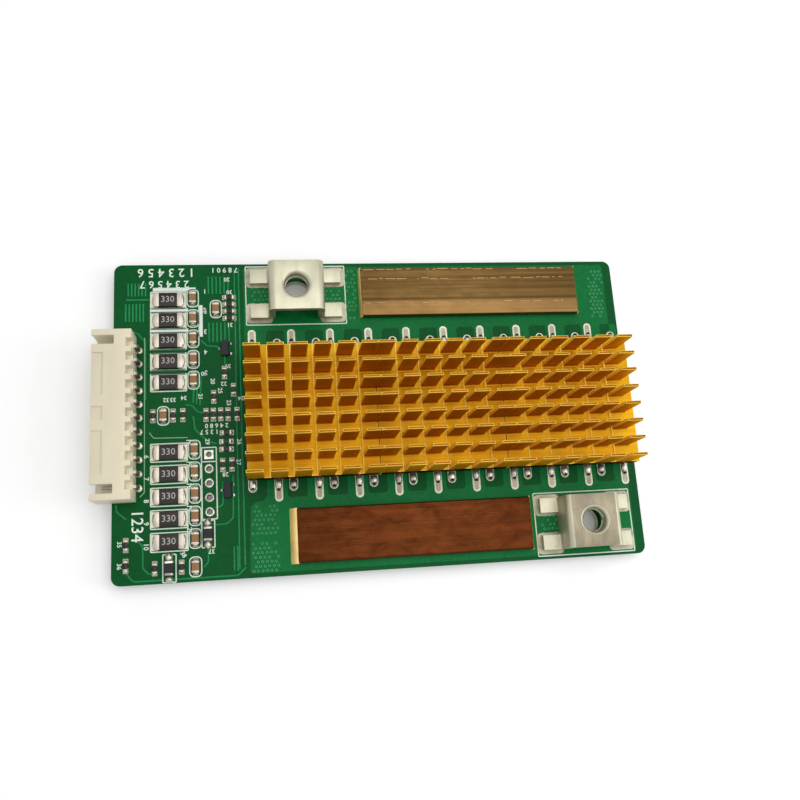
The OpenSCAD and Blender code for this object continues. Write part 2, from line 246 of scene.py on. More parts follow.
def round_line(x, y, radius, steps=28):
    """A closed ring of points."""
    turns = [2 * math.pi * k / steps for k in range(steps)]
    ring = [(x + radius * math.cos(a), y + radius * math.sin(a)) for a in turns]
    return ring + ring[:1]


# ---------- geometry node trees ----------

# Trees by the function that makes them, and finishes by their name
MADE = {}


def once(key, make):
    """A tree or a finish, made the first time it is asked for."""
    if key not in MADE:
        MADE[key] = make()
    return MADE[key]


def add_node(tree, kind, inputs, output=0, **settings):
    """A new node's output; an input is a plain value or another node's output."""
    node = tree.nodes.new(kind)
    for key, value in settings.items():
        setattr(node, key, value)
    for key, value in inputs.items():
        if isinstance(value, bpy.types.NodeSocket):
            tree.links.new(value, node.inputs[key])
        else:
            node.inputs[key].default_value = value
    return node.outputs[output]


class Tree:
    """A geometry node tree whose inputs have names, with its material as the last one."""

    def __init__(self, name, **inputs):
        self.group = bpy.data.node_groups.new(name, "GeometryNodeTree")
        sockets = self.group.interface
        sockets.new_socket("Geometry", in_out="INPUT", socket_type="NodeSocketGeometry")
        for label, kind in (*inputs.items(), ("Material", "Material")):
            sockets.new_socket(
                label.replace("_", " "), in_out="INPUT", socket_type="NodeSocket" + kind
            )
        sockets.new_socket("Geometry", in_out="OUTPUT", socket_type="NodeSocketGeometry")
        self.source = self.group.nodes.new("NodeGroupInput").outputs
        self.target = self.group.nodes.new("NodeGroupOutput").inputs

    def add(self, kind, inputs, output=0, **settings):
        return add_node(self.group, kind, inputs, output, **settings)

    def rounded(self, curve, steps):
        """A line whose corners have the tree's own corner radius."""
        inputs = {
            "Curve": curve,
            "Count": steps,
            "Radius": self.source["Corner Radius"],
            "Limit Radius": True,
        }
        return self.add("GeometryNodeFilletCurve", inputs, mode="POLY")

    def rectangle(self, width, height):
        """A rectangle whose sides are two of the tree's own inputs."""
        inputs = {"Width": self.source[width], "Height": self.source[height]}
        return self.add("GeometryNodeCurvePrimitiveQuadrilateral", inputs)

    def swept(self, curve, profile):
        """A profile carried along a curve."""
        inputs = {"Curve": curve, "Profile Curve": profile, "Fill Caps": True}
        return self.add("GeometryNodeCurveToMesh", inputs)

    def raised(self, face):
        """A flat face pushed up by the tree's own thickness, without its underside."""
        inputs = {"Mesh": face, "Offset Scale": self.source["Thickness"], "Individual": False}
        return self.add("GeometryNodeExtrudeMesh", inputs, mode="FACES")

    def on_points(self, instance, **inputs):
        """One instance on each point."""
        points = self.add("GeometryNodeMeshToPoints", {"Mesh": self.source["Geometry"]})
        inputs |= {"Points": points, "Instance": instance}
        return self.add("GeometryNodeInstanceOnPoints", inputs)

    def finish(self, geometry):
        """End in real geometry with the tree's own material."""
        real = self.add("GeometryNodeRealizeInstances", {"Geometry": geometry})
        dressed = self.add(
            "GeometryNodeSetMaterial", {"Geometry": real, "Material": self.source["Material"]}
        )
        self.group.links.new(dressed, self.target["Geometry"])
        return self.group


def ribbon_tree():
    """Flat ribbons along lines, with rounded corners: copper tracks and printed lines."""
    tree = Tree("Ribbons", Width="Float", Height="Float", Corner_Radius="Float")
    curve = tree.add("GeometryNodeMeshToCurve", {"Mesh": tree.source["Geometry"]})
    curve = tree.rounded(curve, 4)
    curve = tree.add("GeometryNodeSetCurveNormal", {"Curve": curve}, mode="Z_UP")
    return tree.finish(tree.swept(curve, tree.rectangle("Width", "Height")))


def pad_tree():
    """Flat plates with rounded corners on points: solder lands and patches."""
    tree = Tree("Pads", Length="Float", Width="Float", Corner_Radius="Float", Thickness="Float")
    outline = tree.rounded(tree.rectangle("Length", "Width"), 5)
    face = tree.add("GeometryNodeFillCurve", {"Curve": outline}, mode="NGONS")
    join = tree.group.nodes.new("GeometryNodeJoinGeometry")
    for half in (tree.add("GeometryNodeFlipFaces", {"Mesh": face}), tree.raised(face)):
        tree.group.links.new(half, join.inputs[0])
    closed = tree.add(
        "GeometryNodeMergeByDistance", {"Geometry": join.outputs[0], "Distance": 1e-7}
    )
    return tree.finish(tree.on_points(closed))


def sheet_tree():
    """A flat sheet with rounded corners inside closed lines; inner lines are openings."""
    tree = Tree("Sheets", Corner_Radius="Float", Thickness="Float", Level="Float")
    outline = tree.add("GeometryNodeMeshToCurve", {"Mesh": tree.source["Geometry"]})
    outline = tree.rounded(outline, 4)
    face = tree.add("GeometryNodeFillCurve", {"Curve": outline}, mode="TRIANGLES")
    offset = tree.add("ShaderNodeCombineXYZ", {"Z": tree.source["Level"]})
    position = tree.add("GeometryNodeInputPosition", {})
    flat = tree.add(
        "ShaderNodeVectorMath", {0: position, 1: (1.0, 1.0, 0.0)}, operation="MULTIPLY"
    )
    inputs = {"Geometry": face, "Position": flat, "Offset": offset}
    return tree.finish(tree.raised(tree.add("GeometryNodeSetPosition", inputs)))


def dome_tree():
    """Low domes on points, as far across and as high as each point's reach: solder."""
    tree = Tree("Domes", Segments="Int")
    inputs = {"Segments": tree.source["Segments"], "Rings": 8, "Radius": 1.0}
    ball = tree.add("GeometryNodeMeshUVSphere", inputs)
    position = tree.add("GeometryNodeInputPosition", {})
    # The lower half is pressed flat, just below the point
    floor = tree.add(
        "ShaderNodeVectorMath", {0: position, 1: (-9.0, -9.0, -0.05)}, operation="MAXIMUM"
    )
    dome = tree.add("GeometryNodeSetPosition", {"Geometry": ball, "Position": floor})
    dome = tree.add("GeometryNodeSetShadeSmooth", {"Geometry": dome, "Shade Smooth": True})
    reach = tree.add(
        "GeometryNodeInputNamedAttribute", {"Name": "reach"}, data_type="FLOAT_VECTOR"
    )
    return tree.finish(tree.on_points(dome, Scale=reach))


def ring_tree():
    """Flat rings on points: lands round holes, and vias."""
    tree = Tree("Rings", Radius="Float", Band="Float", Height="Float", Resolution="Int")
    inputs = {"Radius": tree.source["Radius"], "Resolution": tree.source["Resolution"]}
    circle = tree.add("GeometryNodeCurvePrimitiveCircle", inputs)
    ring = tree.swept(circle, tree.rectangle("Band", "Height"))
    return tree.finish(tree.on_points(ring))


def thread_tree():
    """A screw thread's ridge, wound round each point."""
    tree = Tree("Threads", Radius="Float", Depth="Float", Length="Float", Turns="Float")
    inputs = {
        "Resolution": 28,
        "Rotations": tree.source["Turns"],
        "Start Radius": tree.source["Radius"],
        "End Radius": tree.source["Radius"],
        "Height": tree.source["Length"],
    }
    spiral = tree.add("GeometryNodeCurveSpiral", inputs)
    inputs = {"Radius": tree.source["Depth"], "Resolution": 5}
    profile = tree.add("GeometryNodeCurvePrimitiveCircle", inputs)
    return tree.finish(tree.on_points(tree.swept(spiral, profile)))


def fin_tree():
    """One fin on each point of a heatsink's base."""
    tree = Tree("Fins", Fin="Object")
    fin = tree.add("GeometryNodeObjectInfo", {"Object": tree.source["Fin"]}, output="Geometry")
    return tree.finish(tree.on_points(fin))


def grown(tree, look, base, **inputs):
    """Run a tree over a mesh and return the plain mesh that comes of it."""
    carrier = linked("carrier", base)
    modifier = carrier.modifiers.new("Tree", "NODES")
    modifier.node_group = once(tree, tree)
    inputs["Material"] = finish(look)
    for item in modifier.node_group.interface.items_tree:
        label = item.name.replace(" ", "_")
        if item.in_out == "INPUT" and label in inputs:
            modifier[item.identifier] = inputs[label]
    evaluated = carrier.evaluated_get(bpy.context.evaluated_depsgraph_get())
    plain = bpy.data.meshes.new_from_object(evaluated)
    bpy.data.objects.remove(carrier)
    return plain


def grow(name, slot, look, tree, base, under=False, **inputs):
    """Show what a tree makes of a mesh, on the component side or moved to the underside."""
    mesh = grown(tree, look, base, **inputs)
    show(name, below(mesh) if under else mesh, slot)


# ---------- finishes ----------


def linear(colour):
    """A screen colour as the linear one that shaders take."""
    return tuple(c / 12.92 if c <= 0.04045 else ((c + 0.055) / 1.055) ** 2.4 for c in colour)


def shade(colour, factor):
    """A colour made darker or paler, as a shader's colour."""
    return (*(min(1.0, c * factor) for c in colour), 1)


class Finish:
    """A procedural material: one Principled shader, and the patterns that feed it."""

    def __init__(self, name, roughness, metallic=0.0, **sockets):
        self.material = bpy.data.materials.new(name)
        self.material.use_nodes = True
        self.tree = self.material.node_tree
        self.shader = self.tree.nodes["Principled BSDF"]
        self.object = self.tree.nodes.new("ShaderNodeTexCoord").outputs["Object"]
        sockets |= {"Roughness": roughness, "Metallic": metallic}
        for label, value in sockets.items():
            self.shader.inputs[label.replace("_", " ")].default_value = value

    def add(self, kind, inputs, output=0, **settings):
        return add_node(self.tree, kind, inputs, output, **settings)

    def feed(self, label, output):
        self.tree.links.new(output, self.shader.inputs[label])

    def cloud(self, size, across=(1, 1, 1), detail=3.0, rough=0.5, warp=0.0):
        """Soft noise between 0 and 1 with features about size millimetres wide, times across."""
        scale = [1 / (size * MM * a) for a in across]
        where = self.add("ShaderNodeMapping", {"Vector": self.object, "Scale": scale})
        inputs = {
            "Vector": where,
            "Scale": 1.0,
            "Detail": detail,
            "Roughness": rough,
            "Distortion": warp,
        }
        return self.add("ShaderNodeTexNoise", inputs)

    def shades(self, fac, colour, dark, pale, start=0.3, end=0.7):
        """The colour times dark up to start, and times pale from end on."""
        ramp = self.tree.nodes.new("ShaderNodeValToRGB")
        self.tree.links.new(fac, ramp.inputs[0])
        stops = zip(ramp.color_ramp.elements, (start, end), (dark, pale))
        for element, position, factor in stops:
            element.position = position
            element.color = shade(colour, factor)
        return ramp.outputs["Color"]

    def span(self, fac, low, high, start=0.0, end=1.0):
        """A number that runs from low to high as fac runs from start to end."""
        return self.add(
            "ShaderNodeMapRange",
            {"Value": fac, "From Min": start, "From Max": end, "To Min": low, "To Max": high},
        )

    def mixed(self, fac, first, second):
        """The first colour, with the second over it as far as fac goes."""
        inputs = {0: fac, 6: first, 7: second}
        return self.add("ShaderNodeMix", inputs, output=2, data_type="RGBA")

    def dressed(self, tone, relief, depth, strength=1.0, rough=None):
        """The material with its colour, its roughness and a relief depth millimetres high."""
        self.feed("Base Color", tone)
        if rough:
            self.feed("Roughness", rough)
        inputs = {"Height": relief, "Distance": depth * MM, "Strength": strength}
        self.feed("Normal", self.add("ShaderNodeBump", inputs))
        return self.material


def solder_mask(name, colour, patch=0.18):
    """Glossy mask over copper or laminate, a little uneven in colour and surface."""
    colour = linear(colour)
    look = Finish(name, 0.34, Specular_IOR_Level=0.08)
    broad = look.cloud(14, detail=2)
    weave = look.cloud(0.55, detail=4)
    tone = look.shades(broad, colour, 1 - patch, 1 + patch)
    tone = look.mixed(0.35, tone, look.shades(weave, colour, 0.72, 1.35, 0.35, 0.65))
    return look.dressed(tone, weave, 0.012, 0.5, rough=look.span(weave, 0.26, 0.46))


def laminate_edge(colour):
    """Sawn glass laminate: fine layers of weave seen end on."""
    look = Finish("Laminate Edge", 0.7)
    layers = look.cloud(0.16, across=(12, 12, 1), detail=2)
    return look.dressed(look.shades(layers, linear(colour), 0.65, 1.35), layers, 0.02)


def metal(name, colour, roughness, grain=0.25, relief=0.01, spread=0.2):
    """Plain metal whose shade and polish change over a fine grain."""
    look = Finish(name, roughness, metallic=1.0)
    fine = look.cloud(grain, detail=4)
    broad = look.cloud(grain * 9, detail=3, warp=0.6)
    tone = look.shades(broad, linear(colour), 1 - spread, 1 + spread / 3)
    rough = look.span(fine, roughness * 0.75, roughness * 1.3)
    return look.dressed(tone, fine, relief, rough=rough)


def anodised(name, colour, roughness, across=(60, 1, 1), metallic=1.0, rim=1.0):
    """Gold anodised aluminium with the marks of the extrusion die or of the saw."""
    colour = linear(colour)
    look = Finish(name, roughness, metallic, Specular_Tint=(rim, rim * 0.6, rim * 0.3, 1))
    drawn = look.cloud(0.24, across=across, detail=3)
    dye = look.cloud(6, detail=3)
    specks = look.cloud(0.35, detail=2, rough=0.7)
    tone = look.shades(dye, colour, 0.86, 1.06)
    tone = look.mixed(look.span(drawn, 0.0, 0.4, 0.4, 0.7), tone, shade(colour, 0.72))
    pale = look.span(specks, 0.0, 0.5, 0.72, 0.86)
    tone = look.mixed(pale, tone, shade(colour, 1.5))
    rough = look.span(drawn, roughness * 0.8, roughness * 1.3)
    return look.dressed(tone, drawn, 0.012, 0.6, rough)


def tinned(name, colour, spread):
    """Matt tin plate with faint pits and rub marks."""
    colour = linear(colour)
    look = Finish(name, 0.42, metallic=0.75)
    grain = look.cloud(0.18, detail=5, rough=0.65)
    rub = look.cloud(2.6, across=(1, 2.5, 1), detail=4, warp=0.5)
    pits = look.cloud(0.5, detail=1)
    tone = look.shades(rub, colour, 1 - spread, 1 + spread)
    tone = look.mixed(look.span(pits, 0.0, 0.45, 0.66, 0.78), tone, shade(colour, 0.5))
    return look.dressed(tone, grain, 0.02, 0.5, rough=look.span(grain, 0.34, 0.52))


def drawn_copper(name, colour, bright, drawn, mottle, streaks, painted_band_bar=None):
    """Dulled copper bar with drawing lines along it and faint blotches of tarnish."""
    colour, bright = linear(colour), shade(linear(bright), 1)
    look = Finish(name, 0.42, metallic=1.0)
    lines = look.cloud(0.1, across=(260, 1, 1), detail=2)
    bands = look.cloud(0.8, across=(160, 1, 1), detail=3)
    blotch = look.cloud(2.2, across=(1.8, 1, 1), detail=6, rough=0.65, warp=0.4)
    tone = look.shades(bands, colour, 1 - drawn, 1 + 0.7 * drawn, 0.34, 0.66)
    tone = look.mixed(look.span(blotch, 0.0, mottle, 0.42, 0.72), tone, shade(colour, 0.5))
    tone = look.mixed(look.span(lines, 0.0, streaks, 0.5, 0.85), tone, bright)
    if painted_band_bar:
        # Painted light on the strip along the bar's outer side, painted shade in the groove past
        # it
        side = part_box(painted_band_bar)[0].y
        where = look.add("ShaderNodeSeparateXYZ", {"Vector": look.object}, output=1)
        strip = look.span(where, 0.3, 0.0, side + 2.6 * MM, side + 3.1 * MM)
        groove = look.span(where, 0.0, 0.7, side + 2.9 * MM, side + 3.2 * MM)
        past = look.span(where, 1.0, 0.0, side + 3.2 * MM, side + 3.5 * MM)
        groove = look.add("ShaderNodeMath", {0: groove, 1: past}, operation="MULTIPLY")
        tone = look.mixed(strip, tone, bright)
        tone = look.mixed(groove, tone, shade(colour, 0.4))
    return look.dressed(tone, lines, 0.015, 0.6, rough=look.span(blotch, 0.34, 0.5, 0.3, 0.7))


def nylon(colour):
    """Moulded nylon: satin, faintly see-through, with a fine eroded texture."""
    look = Finish(
        "Ivory Nylon", 0.45, IOR=1.5, Subsurface_Weight=0.15, Subsurface_Scale=0.6 * MM
    )
    grain = look.cloud(0.12, detail=3)
    flow = look.cloud(7, detail=2)
    tone = look.shades(flow, linear(colour), 0.95, 1.03)
    return look.dressed(tone, grain, 0.008, 0.5, rough=look.span(grain, 0.38, 0.55))


def dull_body(name, colour, roughness, spread=0.25):
    """Moulded epoxy, glaze, ceramic, tape or ink: one colour with a fine grain."""
    look = Finish(name, roughness, Specular_IOR_Level=0.25)
    fine = look.cloud(0.14, detail=4, rough=0.6)
    tone = look.shades(fine, linear(colour), 1 - spread, 1 + spread)
    rough = look.span(fine, roughness * 0.8, min(1.0, roughness * 1.25))
    return look.dressed(tone, fine, 0.01, rough=rough)


# ---------- settings ----------


def tint(name, description, *colour):
    """A colour property whose default is given in 0 to 255 screen values."""
    return FloatVectorProperty(
        name=name,
        description=description,
        default=[c / 255 for c in colour],
        size=3,
        min=0,
        max=1,
        subtype="COLOR_GAMMA",
    )


def length(name, description, millimetres):
    return FloatProperty(
        name=name,
        description=description,
        default=millimetres * MM,
        min=0,
        unit="LENGTH",
        precision=5,
    )


class BoardSettings(PropertyGroup):
    mask: tint("Mask", "Solder mask over bare laminate", 0, 80, 34)
    pour: tint("Mask on copper", "Solder mask over the large copper areas", 8, 108, 52)
    track: tint("Mask on tracks", "Solder mask over the narrow tracks", 36, 136, 80)
    edge: tint("Edge", "Sawn edge of the laminate", 44, 88, 50)
    ink: tint("Ink", "Printed marks", 226, 238, 226)
    faint_ink: tint("Thin ink", "Printed lines that show the mask through", 128, 182, 142)
    solder: tint("Solder", "Solder mounds", 196, 194, 180)
    land: tint("Lands", "Tinned lands and the solder film on them", 188, 190, 170)
    film: tint("Solder film", "Flat solder that ran out over a land", 166, 162, 142)
    bright_solder: tint("Bright solder", "Solder along the lower bar's left end", 250, 218, 150)
    # Bare cut lead ends, darkened as painted shade and dark reflection
    cut_lead_shade: tint("Cut leads", "Bare metal where a lead was cut off", 62, 48, 40)
    via: tint("Mask on via rims", "Solder mask over the rims of the vias", 78, 160, 108)
    copper_step: length("Copper step", "How far masked copper stands up", 0.03)
    ink_step: length("Ink step", "Thickness of the print over the mask", 0.02)
    land_step: length("Land step", "Thickness of the tinned lands", 0.06)


class PowerSettings(PropertyGroup):
    # Painted shade: the bases' sides get a gold far darker than the fins and floors, with a
    # dimmed specular tint
    gold: tint("Gold", "Anodised sides of the heatsinks' bases", 88, 27, 5)
    floor_gold: tint("Fins and floors", "Anodised fins and the floors between", 200, 148, 28)
    fin_top: tint("Fin tops", "Flat tops of the fins", 132, 78, 16)
    # The pins' sawn ends: rougher and saw-marked, with a paler tint that is partly painted
    # highlight
    sawn_gold: tint("Sawn ends", "Ends of the pins, where the cross cuts went", 255, 206, 86)
    # Painted highlight: the pale tint of the fins' and bases' rounded edges and of the saw-cut
    # burrs
    edge_highlight_gold: tint("Edge highlights", "Edges painted pale as a highlight", 255, 220, 96)
    tape: tint("Tape", "Thermal tape", 190, 194, 194)
    tin: tint("Tin plate", "Screw terminals", 184, 181, 158)
    # The lower terminal's top gets a darker, blotchier tin than the upper one
    dull_tin: tint("Dull tin", "Darker top of the lower terminal", 132, 124, 104)
    brown_copper: tint("Upper bar", "Dulled copper of the upper bar", 100, 76, 42)
    # Also the colour of the upper bar's painted light strip
    bright_copper: tint("Drawn lines", "Brighter metal in the bars' drawing lines", 168, 130, 82)
    red_copper: tint("Lower bar", "Tarnished copper of the lower bar", 84, 42, 18)
    # Painted highlight: glints along the upper bar's drawing lines
    copper_scratch: tint("Dashes", "Dashes rubbed bright on the upper bar", 200, 162, 116)
    red_scratch: tint("Scratches", "Fine scratches on the lower bar", 122, 74, 40)
    moulding: tint("Moulding", "Transistor and circuit bodies", 34, 34, 37)
    fin_edge: length("Fin edge", "Rounding of the fins' edges", 0.1)
    fin_root: length("Fin root", "Radius where a fin meets the base", 0.35)
    strap_edge: length("Strap edge", "Rounding of the terminals' edges", 0.16)
    dish: length("Dish", "How wide the terminals' holes are dished", 0.62)
    thread_pitch: length("Thread pitch", "Pitch of the terminals' screw thread", 0.8)
    thread_depth: length("Thread depth", "Radius of the thread's ridge", 0.16)
    bar_edge: length("Bar edge", "Rounding of the bars' edges", 0.12)


class PartSettings(PropertyGroup):
    ivory: tint("Ivory", "Connector housing", 225, 217, 190)
    pin_metal: tint("Pins", "Connector pins", 158, 152, 140)
    glaze: tint("Glaze", "Resistor bodies", 40, 31, 27)
    ceramic: tint("Ceramic", "Capacitor bodies", 150, 110, 72)
    end_cap: tint("End caps", "Tinned ends of the chips", 188, 180, 168)
    figures: tint("Figures", "Figures on the resistors", 178, 178, 172)
    housing_edge: length("Housing edge", "Rounding of the connector's edges", 0.1)
    chip_edge: length("Chip edge", "Rounding of the chips' edges", 0.05)
    cap_share: FloatProperty(
        name="Cap share",
        description="Share of a chip's length that each end cap takes",
        default=0.2,
        min=0.05,
        max=0.4,
        subtype="FACTOR",
    )


class StageSettings(PropertyGroup):
    lens: FloatProperty(name="Lens", description="Focal length", default=36.98, unit="CAMERA")
    camera_place: FloatVectorProperty(
        name="Camera place",
        description="Where the camera is",
        default=(-18.155 * MM, -31.484 * MM, 151.145 * MM),
        size=3,
        subtype="TRANSLATION",
        precision=5,
    )
    camera_turn: FloatVectorProperty(
        name="Camera turn",
        description="How the camera is turned from looking straight down",
        default=[math.radians(a) for a in (13.067, -7.989, -3.781)],
        size=3,
        subtype="EULER",
        precision=5,
    )
    floor: tint("Floor", "Pale floor", 250, 250, 250)
    sky: FloatProperty(name="Sky", description="Light from all round", default=0.55, min=0)
    softbox: FloatProperty(
        name="Softbox",
        description="Power of the large soft lamp",
        default=0.9,
        min=0,
        unit="POWER",
    )
    side: FloatProperty(
        name="Side lamp", description="Power of the side lamp", default=0.35, min=0, unit="POWER"
    )


def board():
    return bpy.context.scene.board_looks


def power():
    return bpy.context.scene.power_looks


def parts():
    return bpy.context.scene.part_looks


# ---------- finishes by name ----------


def finish(name):
    """The finish of that name, made once."""
    b, w, p = board(), power(), parts()
    makers = {
        "mask": lambda: solder_mask("Mask", b.mask),
        "pour": lambda: solder_mask("Mask On Copper", b.pour, 0.14),
        "track": lambda: solder_mask("Mask On Tracks", b.track),
        "via": lambda: solder_mask("Mask On Vias", b.via),
        "edge": lambda: laminate_edge(b.edge),
        "ink": lambda: dull_body("Printed Ink", b.ink, 0.6, spread=0.05),
        "faint ink": lambda: dull_body("Thin Ink", b.faint_ink, 0.55, spread=0.15),
        "solder": lambda: metal("Solder", b.solder, 0.3, grain=0.3, relief=0.03, spread=0.6),
        "land": lambda: metal("Tinned Land", b.land, 0.5, grain=0.2, relief=0.02),
        "film": lambda: metal("Solder Film", b.film, 0.55, grain=0.35, relief=0.03, spread=0.4),
        "bright solder": lambda: metal("Bright Solder", b.bright_solder, 0.6, grain=0.4),
        "cut lead": lambda: metal("Cut Lead Painted Shade", b.cut_lead_shade, 0.5),
        # Painted shade for the heatsink bases' sides
        "gold": lambda: anodised("Gold Anodised Painted Shade", w.gold, 0.33, rim=0.45),
        "floor gold": lambda: anodised("Channel Floors", w.floor_gold, 0.5),
        "fin top": lambda: anodised("Fin Tops", w.fin_top, 0.36),
        "sawn gold": lambda: anodised(
            "Sawn Gold", w.sawn_gold, 0.6, across=(1, 1, 30), metallic=0.4
        ),
        "edge highlight gold": lambda: anodised("Edge Highlight Gold", w.edge_highlight_gold, 0.6, metallic=0.4),
        "tape": lambda: dull_body("Thermal Tape", w.tape, 0.75),
        "tin": lambda: tinned("Tinned Strap", w.tin, 0.12),
        "dull tin": lambda: tinned("Dull Tinned Strap", w.dull_tin, 0.3),
        "brown copper": lambda: drawn_copper(
            "Brown Copper", w.brown_copper, w.bright_copper, 0.34, 0.35, 0.4, BARS["upper"]
        ),
        "red copper": lambda: drawn_copper(
            "Red Copper", w.red_copper, w.bright_copper, 0.15, 0.9, 0.08
        ),
        "copper scratch": lambda: metal("Copper Scratch", w.copper_scratch, 0.5),
        "red scratch": lambda: metal("Red Copper Scratch", w.red_scratch, 0.5),
        "moulding": lambda: dull_body("Moulded Epoxy", w.moulding, 0.55),
        "nylon": lambda: nylon(p.ivory),
        "pin": lambda: metal("Tinned Pin", p.pin_metal, 0.3, grain=0.2),
        "glaze": lambda: dull_body("Resistor Glaze", p.glaze, 0.28, spread=0.12),
        "ceramic": lambda: dull_body("Capacitor Ceramic", p.ceramic, 0.5),
        "cap": lambda: metal("End Cap", p.end_cap, 0.42, relief=0.03),
        "figures": lambda: dull_body("Figures", p.figures, 0.6, spread=0.05),
    }
    return once(name, makers[name])


# ---------- shapes that several operators share ----------


def figures_mesh(name, entries, thickness, bold=0.0, swapped=False):
    """Plain figures as one flat mesh; an entry is (figures, x, y, height, turn, z)."""
    bm = bmesh.new()
    for text, x, y, height, turn, z in entries:
        curve = bpy.data.curves.new("figures", "FONT")
        curve.body = text
        curve.size = height * 1.35
        curve.extrude = thickness / 2
        curve.offset = bold
        curve.resolution_u = 2
        curve.align_x, curve.align_y = "CENTER", "CENTER"
        letter = linked("figures", curve)
        mesh = bpy.data.meshes.new_from_object(letter)
        turned = Matrix.Translation((x, y, z)) @ Matrix.Rotation(math.radians(turn), 4, "Z")
        if swapped:
            turned = turned @ Matrix.Scale(-1, 4, (1, 0, 0))
        mesh.transform(TO_ROW @ turned)
        bm.from_mesh(mesh)
        bpy.data.objects.remove(letter)
        bpy.data.curves.remove(curve)
        bpy.data.meshes.remove(mesh)
    bmesh.ops.remove_doubles(bm, verts=bm.verts, dist=0.001 * MM)
    return mesh_of(bm, name, smooth=False)


def grow_pour(name, outlines, under=False):
    """Large copper areas under the mask."""
    grow(name, "green_board", "pour", sheet_tree, lines_mesh(outlines), under,
         Corner_Radius=POUR_CORNER * MM, Thickness=board().copper_step, Level=BOARD_HIGH.z)


def grow_tracks(name, lines, corner, under=False):
    """Copper tracks under the mask."""
    grow(name, "green_board", "track", ribbon_tree, lines_mesh(lines), under,
         Width=TRACK_WIDTH * MM, Height=2 * board().copper_step, Corner_Radius=corner * MM)


def grow_vias(name, under=False):
    """The rims of the vias under the mask."""
    grow(name, "green_board", "via", ring_tree, points_mesh(via_points()), under,
         Radius=VIA_RADIUS * MM, Band=VIA_BAND * MM, Height=3 * board().copper_step,
         Resolution=8)


def grow_lands(name, look, points, sides, corner, steps=1, under=False):
    """Tinned plates on points, so many land steps high."""
    grow(name, "tinned_strap", look, pad_tree, points_mesh(points), under,
         Length=sides[0] * MM, Width=sides[1] * MM, Corner_Radius=corner * MM,
         Thickness=steps * board().land_step)


def grow_rings(name, look, points, radius, band, resolution, under=False):
    """Tinned rings on points, round holes."""
    grow(name, "tinned_strap", look, ring_tree, points_mesh(points), under,
         Radius=radius * MM, Band=band * MM, Height=2 * board().land_step,
         Resolution=resolution)


def grow_print(name, lines, width, corner, look="ink", under=False):
    """Printed lines that clear the copper under the mask."""
    grow(name, "green_board", look, ribbon_tree, lines_mesh(lines), under,
         Width=width * MM, Height=2 * board().ink_step + 2 * COPPER_TOP * MM,
         Corner_Radius=corner * MM)


def closed_prism(bm, rings):
    """Faces between two like rings of vertices, and over both ends."""
    first, last = rings
    faces = [bm.faces.new(last[::-1]), bm.faces.new(first)]
    for k in range(len(first)):
        n = (k + 1) % len(first)
        faces.append(bm.faces.new([first[n], first[k], last[k], last[n]]))
    return faces


# ---------- the board's own layout, in board millimetres ----------

CELL_RESISTORS = numbered("balance_resistor", 1, 10)
LOWER_ROW = numbered("power_transistor", 1, 10)
UPPER_ROW = numbered("power_transistor", 11, 20)
HEATSINKS = numbered("heatsink", 1, 3)
TAPES = numbered("thermal_tape", 1, 3)
TERMINALS = {"upper": "screw_terminal_upper", "lower": "screw_terminal_lower"}
BARS = {"upper": "copper_bar_upper", "lower": "copper_bar_lower"}
# From the lower circuit to the upper one
CIRCUITS = ("protection_ic_2", "protection_ic_1")
SIDES = (-1, 1)

HEADER_PITCH = 2.54
HEADER_HOLES = 5

# Bare laminate past the copper: at the board's edges, at its right end, beside a parting
RIM, END_RIM, PARTING = 0.7, 1.7, 0.6
POUR_CORNER = 0.6
TRACK_WIDTH = 0.28
VIA_RADIUS, VIA_BAND, VIA_PITCH = 0.2, 0.12, 0.78
VIA_SHARE = 0.82

# The level of the masked copper, which vias and print stand on
COPPER_TOP = 0.03
# The middle of the printed figures' thickness
FIGURE_LEVEL = 0.045
FIGURE_BOLD = 0.02


def header_holes():
    """The header's holes, as (x, y), from the record's own mount."""
    middle = mount("service_header")[1]
    half = (HEADER_HOLES - 1) / 2
    return [(middle.x, middle.y + (k - half) * HEADER_PITCH) for k in range(HEADER_HOLES)]


def lead_places(row):
    """The source and gate lead tips of a row of transistors, as (x, y) lists."""
    sources, gates = [], []
    for node in row:
        body = spot(node)
        lower = body.mid.y < BOARD_W / 2
        tip = body.low.y if lower else body.high.y
        xs = [p.x for p in corners(node) if abs(p.z) < 0.01 and abs(p.y - tip) < 0.01]
        left, right = min(xs), max(xs)
        width = min(x for x in xs if x > left + 0.05) - left
        ends = [left + width / 2, right - width / 2]
        source, gate = reversed(ends) if lower else ends
        sources.append((source, tip))
        gates.append((gate, tip))
    return sources, gates


def pin_tails():
    """Where each connector pin goes through the board."""
    return [
        Vector((pin.high.x - pin.size.y / 2, pin.mid.y)) for pin in extents("connector_pins")
    ]


def via_points():
    """Staggered fields of vias, with some left out."""
    pick = random.Random(4)
    up, low = (spot(node) for node in TERMINALS.values())
    fields = [
        (23.9, 7.6, 27.9, 12.4),
        (23.9, 1.1, 27.8, 6.0),
        (up.low.x + 0.4, up.mid.y - 1.6, up.low.x + 3.0, up.mid.y + 1.6),
        (up.high.x - 3.0, up.mid.y - 1.6, up.high.x - 0.4, up.mid.y + 1.6),
        (low.low.x + 0.4, low.mid.y - 1.6, low.low.x + 3.0, low.mid.y + 1.6),
        (up.high.x + 0.8, up.low.y, up.high.x + 2.4, up.high.y),
        (91.2, 46.5, 94.0, 56.4),
    ]
    points = []
    for x0, y0, x1, y1 in fields:
        for row in range(int((y1 - y0) / VIA_PITCH) + 1):
            for col in range(int((x1 - x0) / VIA_PITCH) + 1):
                if pick.random() < VIA_SHARE:
                    shift = VIA_PITCH / 2 if row % 2 else 0
                    x = x0 + col * VIA_PITCH + shift
                    points.append((x, y0 + row * VIA_PITCH, COPPER_TOP))
    return points


def comb(count, x, pitch, y0, y1):
    """A row of short tracks side by side."""
    return [[(x + pitch * k, y0), (x + pitch * k, y1)] for k in range(count)]


